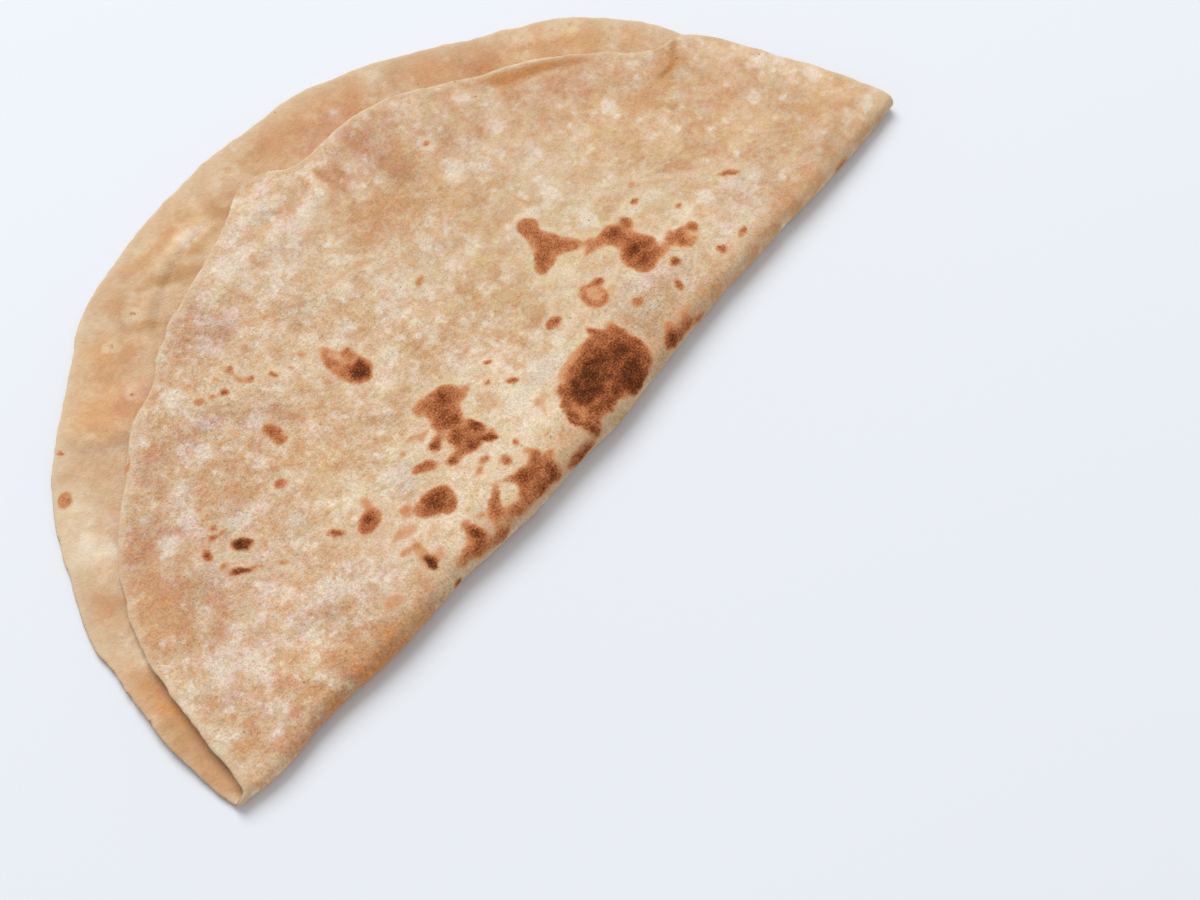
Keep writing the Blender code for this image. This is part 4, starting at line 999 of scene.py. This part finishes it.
def put(tree, kind, **settings):
    """Add a node with its settings."""
    node = tree.nodes.new(kind)
    for name, value in settings.items():
        setattr(node, name, value)
    return node


def feed(tree, socket, source):
    """Link a source into a socket, or set the socket to a plain value."""
    if isinstance(source, bpy.types.NodeSocket):
        tree.links.new(source, socket)
    else:
        socket.default_value = source


def calc(tree, operation, *sources):
    """A Math node's value."""
    node = put(tree, "ShaderNodeMath", operation=operation)
    for socket, source in zip(node.inputs, sources):
        feed(tree, socket, source)
    return node.outputs[0]


def times(tree, value, strength):
    """A value times a strength."""
    return calc(tree, "MULTIPLY", value, strength)


def plus(tree, base, extra, strength):
    """A base with a share of something extra added."""
    return calc(tree, "MULTIPLY_ADD", extra, strength, base)


def centred(tree, value, middle=0.5):
    """A value with its middle moved to 0."""
    return calc(tree, "SUBTRACT", value, middle)


def between(tree, value, low, high, to_low=0.0, to_high=1.0):
    """Go smoothly from one value to another as the input goes from low to high."""
    node = put(tree, "ShaderNodeMapRange", interpolation_type="SMOOTHSTEP")
    for socket, source in zip(node.inputs, (value, low, high, to_low, to_high)):
        feed(tree, socket, source)
    return node.outputs[0]


def blend_colour(tree, share, first, second, how="MIX"):
    """A Mix node's colour."""
    node = put(tree, "ShaderNodeMix", data_type="RGBA", blend_type=how)
    feed(tree, node.inputs[0], share)
    feed(tree, node.inputs[6], first)
    feed(tree, node.inputs[7], second)
    return node.outputs[2]


def noise(tree, place, size, detail=2.0, roughness=0.5, warp=0.0, output="Fac"):
    """Noise from 0 to 1 in lumps of a size in mm."""
    node = put(tree, "ShaderNodeTexNoise")
    feed(tree, node.inputs["Vector"], place)
    feed(tree, node.inputs["Scale"], 1.0 / size)
    feed(tree, node.inputs["Detail"], detail)
    feed(tree, node.inputs["Roughness"], roughness)
    feed(tree, node.inputs["Distortion"], warp)
    return node.outputs[output]


def scattered(tree, place, size):
    """Distance to the nearest of points scattered a size in mm apart, as a share of the size,
    and a random value from 0 to 1 that is that point's own.
    """
    node = put(tree, "ShaderNodeTexVoronoi")
    feed(tree, node.inputs["Vector"], place)
    feed(tree, node.inputs["Scale"], 1.0 / size)
    split = put(tree, "ShaderNodeSeparateColor")
    feed(tree, split.inputs[0], node.outputs["Color"])
    return node.outputs["Distance"], split.outputs[0]


def dots(tree, place, size, inner, outer):
    """Soft round dots of random strength, 0 to 1, full within inner and gone beyond outer."""
    distance, chance = scattered(tree, place, size)
    return times(tree, between(tree, distance, outer, inner), chance)


def wander(tree, place, size, reach):
    """Places pushed about by noise, so that what is drawn there looks torn."""
    sway = put(tree, "ShaderNodeVectorMath", operation="SUBTRACT")
    feed(tree, sway.inputs[0], noise(tree, place, size, detail=1.0, output="Color"))
    sway.inputs[1].default_value = (0.5, 0.5, 0.5)
    moved = put(tree, "ShaderNodeVectorMath", operation="MULTIPLY_ADD")
    feed(tree, moved.inputs[0], sway.outputs[0])
    moved.inputs[1].default_value = (reach, reach, 0.0)
    feed(tree, moved.inputs[2], place)
    return moved.outputs[0]


def read(tree, name, output="Fac"):
    """An attribute of the mesh."""
    return put(tree, "ShaderNodeAttribute", attribute_name=name).outputs[output]


def new_group(name, inputs, outputs):
    """A shader node group with sockets. Returns it, what it is given and what it results in."""
    tree = bpy.data.node_groups.new(name, "ShaderNodeTree")
    for label, kind in inputs:
        tree.interface.new_socket(label, in_out="INPUT", socket_type=kind)
    for label, kind in outputs:
        tree.interface.new_socket(label, in_out="OUTPUT", socket_type=kind)
    given = tree.nodes.new("NodeGroupInput")
    result = tree.nodes.new("NodeGroupOutput")
    return tree, given.outputs, result.inputs


def place_group(tree, maker, **sources):
    """Put a group into a material and feed its inputs. The maker builds it the first time."""
    group = bpy.data.node_groups.get(maker.__name__) or maker()
    node = put(tree, "ShaderNodeGroup", node_tree=group)
    for name, source in sources.items():
        feed(tree, node.inputs[name.capitalize()], source)
    return node.outputs


# ---------------------------------------------------------------- node groups


def dough_tone():
    """How floury each place is, 0 to 1, in ragged patches and pale blisters."""
    tree, given, result = new_group(
        "dough_tone", (("Place", VECTOR), ("Flour", VALUE), ("Grain", VALUE)),
        (("Tone", VALUE), ("Tint", VALUE), ("Shade", VALUE)))
    place = given["Place"]
    torn = wander(tree, place, size=2.6, reach=2.4)
    broad = centred(tree, noise(tree, place, size=8.0, roughness=0.6, warp=0.3))
    patchy = centred(tree, noise(tree, torn, size=4.4, detail=1.5, roughness=0.6))
    small = centred(tree, noise(tree, place, size=1.5, detail=1.0))
    large_blisters = dots(tree, torn, size=6.5, inner=0.10, outer=0.55)
    small_blisters = dots(tree, torn, size=2.8, inner=0.08, outer=0.50)
    blisters = plus(tree, large_blisters, small_blisters, strength=0.8)
    lively = plus(tree, 0.30, given["Grain"], strength=0.55)
    level = plus(tree, 0.48, given["Flour"], strength=0.40)
    level = plus(tree, level, broad, strength=0.4)
    swing = plus(tree, times(tree, patchy, strength=1.7), small, strength=0.9)
    level = plus(tree, level, swing, strength=lively)
    puffed = between(tree, given["Grain"], low=0.0, high=0.35, to_low=0.2, to_high=0.46)
    level = plus(tree, level, centred(tree, blisters, middle=0.16), strength=puffed)
    feed(tree, result["Tone"], level)
    tint = centred(tree, noise(tree, torn, size=3.8, detail=3.0, roughness=0.75))
    tinted = between(tree, given["Grain"], low=0.0, high=0.4, to_low=0.5, to_high=1.0)
    feed(tree, result["Tint"], times(tree, tint, tinted))
    cloudy = noise(tree, place, size=4.0, detail=4.0, roughness=0.75)
    feed(tree, result["Shade"], centred(tree, cloudy))
    return tree


def fine_grain():
    """Fine speckle of bran and dry flour, with painted glints of light on tiny grains and painted shade
    in tiny pits.
    """
    tree, given, result = new_group(
        "fine_grain", (("Place", VECTOR),),
        (("Shade", VALUE), ("Glint", VALUE), ("Pit_shade", VALUE), ("Bran", VALUE)))
    place = given["Place"]
    fine = noise(tree, place, size=0.40, roughness=0.7)
    coarse = noise(tree, place, size=1.0, roughness=0.6)
    shade = plus(tree, times(tree, fine, strength=0.6), coarse, strength=0.4)
    feed(tree, result["Shade"], shade)
    glint = noise(tree, place, size=0.36, detail=1.0)
    feed(tree, result["Glint"], between(tree, glint, low=0.56, high=0.70))
    pit_shade = noise(tree, place, size=0.50, detail=1.0)
    feed(tree, result["Pit_shade"], between(tree, pit_shade, low=0.42, high=0.28))
    distance, chance = scattered(tree, place, size=5.5)
    flake = between(tree, distance, low=0.055, high=0.03)
    chosen = calc(tree, "GREATER_THAN", chance, BRAN_RARITY)
    feed(tree, result["Bran"], times(tree, flake, chosen))
    return tree


def griddle_char():
    """Scorched spots with fringed edges, from the depth inside a mark and its heat."""
    tree, given, result = new_group(
        "griddle_char", (("Place", VECTOR), ("Depth", VALUE), ("Heat", VALUE)),
        (("Colour", COLOUR), ("Mask", VALUE), ("Halo", VALUE)))
    place = given["Place"]
    ragged = centred(tree, noise(tree, place, size=1.9, roughness=0.6))
    fringe = centred(tree, noise(tree, place, size=0.45, roughness=0.6))
    depth = plus(tree, given["Depth"], ragged, strength=1.9)
    depth = plus(tree, depth, fringe, strength=1.3)
    speckle = centred(tree, noise(tree, place, size=0.42, roughness=0.7))
    patch = centred(tree, noise(tree, place, size=2.0, detail=3.0, roughness=0.6))
    heat = plus(tree, times(tree, given["Heat"], strength=0.88), patch, strength=0.5)
    heat = plus(tree, heat, speckle, strength=0.9)
    ramp = put(tree, "ShaderNodeValToRGB")
    feed(tree, ramp.inputs[0], heat)
    bar = ramp.color_ramp
    while len(bar.elements) < len(CHAR_STOPS):
        bar.elements.new(1.0)
    for element, (position, colour) in zip(bar.elements, CHAR_STOPS):
        element.position = position
        element.color = (*colour, 1.0)
    feed(tree, result["Colour"], ramp.outputs[0])
    inside = between(tree, depth, low=-0.75, high=0.45)
    hot = between(tree, given["Heat"], low=0.0, high=0.42)
    feed(tree, result["Mask"], times(tree, inside, hot))
    feed(tree, result["Halo"], between(tree, depth, low=-2.2, high=-0.6))
    return tree


def dough_relief():
    """Height in mm of the pits, pimples and dry skin that are too fine for the mesh."""
    tree, given, result = new_group(
        "dough_relief", (("Place", VECTOR),), (("Height", VALUE),))
    place = given["Place"]
    pimples = noise(tree, place, size=2.0, detail=3.0, roughness=0.65)
    pits = noise(tree, place, size=0.55, detail=1.0)
    height = plus(tree, times(tree, pimples, strength=0.24), pits, strength=0.12)
    feed(tree, result["Height"], height)
    return tree


# ---------------------------------------------------------------- materials


def dough_material(bread):
    """Baked dough: honeyed, creamy and powdery stretches, grain, bran and char, with painted light and
    shade from the stretches' light, and painted glints and pit shade in the grain.
    """
    material = bpy.data.materials.new("griddled_dough")
    material.use_nodes = True
    tree = material.node_tree
    shader = tree.nodes["Principled BSDF"]
    place = read(tree, "sheet", "Vector")
    graininess = read(tree, "grain")
    cream = (*bread.cream, 1.0)

    mottle = place_group(tree, dough_tone, place=place, flour=read(tree, "flour"), grain=graininess)
    grain = place_group(tree, fine_grain, place=place)
    scorch = place_group(
        tree, griddle_char, place=place, depth=read(tree, "char"), heat=read(tree, "scorch"))
    relief = place_group(tree, dough_relief, place=place)

    colour = (*bread.toast, 1.0)
    for name, low, high in TONE_STEPS:
        share = between(tree, mottle["Tone"], low, high)
        colour = blend_colour(tree, share, colour, (*getattr(bread, name), 1.0))
    colour = blend_colour(tree, times(tree, scorch["Halo"], HALO_STRENGTH), colour, cream)
    warmth = plus(tree, read(tree, "warmth"), mottle["Tint"], strength=TINT_STRENGTH)
    for tint, full in ((bread.pink, FULL_WARMTH), (bread.olive, -FULL_WARMTH)):
        tinted = blend_colour(tree, 1.0, colour, (*tint, 1.0), "MULTIPLY")
        colour = blend_colour(tree, between(tree, warmth, 0.0, full), colour, tinted)

    strength = plus(tree, GRAIN_LEAST, graininess, strength=GRAIN_STRENGTH)
    shade = plus(tree, 1.0, centred(tree, grain["Shade"]), strength)
    shade = plus(tree, shade, mottle["Shade"], strength=CLOUD_STRENGTH)
    # the stretches' light: partly the dough's own brightness, partly painted light and shade
    shade = plus(tree, shade, read(tree, "light"), strength=LIGHT_STRENGTH)
    # painted glints of light on tiny grains, less painted shade in tiny pits
    sparkle = plus(tree, times(tree, grain["Glint"], PAINTED_GLINT_STRENGTH), grain["Pit_shade"], -PIT_SHADE_STRENGTH)
    shade = plus(tree, shade, sparkle, strength)
    colour = blend_colour(tree, 1.0, colour, shade, "MULTIPLY")

    rim = read(tree, "rim")
    dry_rim = between(tree, rim, low=1.4, high=0.2, to_high=0.30)
    pale_margin = between(tree, rim, low=RIM_NONE, high=0.8, to_high=0.35)
    colour = blend_colour(tree, calc(tree, "ADD", dry_rim, pale_margin), colour, cream)
    colour = blend_colour(tree, times(tree, grain["Bran"], BRAN_STRENGTH), colour, BRAN)
    colour = blend_colour(tree, scorch["Mask"], colour, scorch["Colour"])
    feed(tree, shader.inputs["Base Color"], colour)

    rough = plus(tree, bread.roughness, mottle["Tone"], strength=0.1)
    feed(tree, shader.inputs["Roughness"], plus(tree, rough, grain["Shade"], strength=0.1))
    bump = put(tree, "ShaderNodeBump")
    bump.inputs["Strength"].default_value = 1.0
    bump.inputs["Distance"].default_value = MM
    feed(tree, bump.inputs["Height"], relief["Height"])
    feed(tree, shader.inputs["Normal"], bump.outputs[0])
    shader.inputs["Specular IOR Level"].default_value = 0.05
    return material


def floor_material(stage):
    """Plain pale floor."""
    material = bpy.data.materials.new("pale_floor")
    material.use_nodes = True
    shader = material.node_tree.nodes["Principled BSDF"]
    shader.inputs["Base Color"].default_value = (*stage.floor, 1.0)
    shader.inputs["Roughness"].default_value = 0.9
    shader.inputs["Specular IOR Level"].default_value = 0.1
    return material


# ---------------------------------------------------------------- stage


def add_floor(scene, stage):
    """A wide level floor just under the bread."""
    level = CAD_LOW.z - FLOOR_DROP
    turns = ((-1, -1), (1, -1), (1, 1), (-1, 1))
    corners = [(FLOOR_HALF * x, FLOOR_HALF * y, level) for x, y in turns]
    mesh = bpy.data.meshes.new("floor")
    mesh.from_pydata(corners, [], [(0, 1, 2, 3)])
    mesh.materials.append(floor_material(stage))
    floor = bpy.data.objects.new("floor", mesh)
    scene.collection.objects.link(floor)


def aim(thing, place, target):
    """Put a camera or lamp at a place, looking at a target."""
    thing.location = place
    thing.rotation_euler = (target - place).to_track_quat("-Z", "Y").to_euler()


def direction(azimuth, elevation):
    """Unit vector from the bread towards an azimuth and elevation."""
    level = math.cos(elevation)
    return Vector((math.sin(azimuth) * level, -math.cos(azimuth) * level, math.sin(elevation)))


def add_light(scene, stage):
    """A large soft lamp behind the bread, and even light from all round."""
    middle = 0.5 * (CAD_LOW + CAD_HIGH)
    lamp = bpy.data.lights.new("key", "AREA")
    lamp.shape = "DISK"
    lamp.size = LAMP_SIZE
    lamp.energy = stage.key_power
    key = bpy.data.objects.new("key", lamp)
    scene.collection.objects.link(key)
    aim(key, middle + LAMP_DISTANCE * direction(LAMP_AZIMUTH, LAMP_ELEVATION), middle)

    world = bpy.data.worlds.new("surroundings")
    world.use_nodes = True
    background = world.node_tree.nodes["Background"]
    background.inputs["Color"].default_value = SKY
    background.inputs["Strength"].default_value = stage.surroundings
    scene.world = world


def add_camera(scene, stage):
    """A camera over the left end of the fold, looking down at its front."""
    camera = bpy.data.cameras.new("camera")
    camera.sensor_width = SENSOR_WIDTH
    camera.lens = camera.sensor_width / 2 / math.tan(stage.field_of_view / 2)
    camera.clip_start = 0.01
    holder = bpy.data.objects.new("camera", camera)
    scene.collection.objects.link(holder)
    target = Vector((0.5 * (CAD_LOW.x + CAD_HIGH.x) - AIM_LEFT, CAD_LOW.y, CAD_LOW.z))
    aim(holder, target + stage.distance * direction(stage.azimuth, stage.elevation), target)
    scene.camera = holder


# ---------------------------------------------------------------- operators and panel


class MESH_OT_folded_bread(bpy.types.Operator):
    """Build the folded bread in place of its plain solid"""

    bl_idname = "mesh.folded_bread"
    bl_label = "Folded Bread"

    def execute(self, context):
        piece = build_bread(context.scene.chapati_bread)
        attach(piece, "root")
        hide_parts(NODE)
        return {"FINISHED"}


class SCENE_OT_chapati_stage(bpy.types.Operator):
    """Set the floor, the light and the camera"""

    bl_idname = "scene.chapati_stage"
    bl_label = "Stage"

    def execute(self, context):
        scene = context.scene
        stage = scene.chapati_stage
        add_floor(scene, stage)
        add_light(scene, stage)
        add_camera(scene, stage)
        scene.view_settings.view_transform = "Standard"
        return {"FINISHED"}


class VIEW3D_PT_chapati(bpy.types.Panel):
    """Sizes, colours and steps of the folded chapati"""

    bl_label = "Chapati"
    bl_idname = "VIEW3D_PT_chapati"
    bl_space_type = "VIEW_3D"
    bl_region_type = "UI"
    bl_category = "Chapati"

    def draw(self, context):
        layout = self.layout
        for settings, operator in (
            (context.scene.chapati_bread, MESH_OT_folded_bread),
            (context.scene.chapati_stage, SCENE_OT_chapati_stage),
        ):
            column = layout.column()
            for name in settings.__annotations__:
                column.prop(settings, name)
            column.operator(operator.bl_idname)


CLASSES = (
    ChapatiBread, ChapatiStage, MESH_OT_folded_bread, SCENE_OT_chapati_stage, VIEW3D_PT_chapati,
)


def register():
    """Register the classes and hang the settings on the scene."""
    for item in CLASSES:
        bpy.utils.register_class(item)
    bpy.types.Scene.chapati_bread = bpy.props.PointerProperty(type=ChapatiBread)
    bpy.types.Scene.chapati_stage = bpy.props.PointerProperty(type=ChapatiStage)


def unregister():
    """Remove the settings and the classes."""
    del bpy.types.Scene.chapati_stage
    del bpy.types.Scene.chapati_bread
    for item in reversed(CLASSES):
        bpy.utils.unregister_class(item)


def main():
    """Build everything."""
    register()
    bpy.ops.mesh.folded_bread()
    bpy.ops.scene.chapati_stage()


if __name__ == "__main__":
    main()
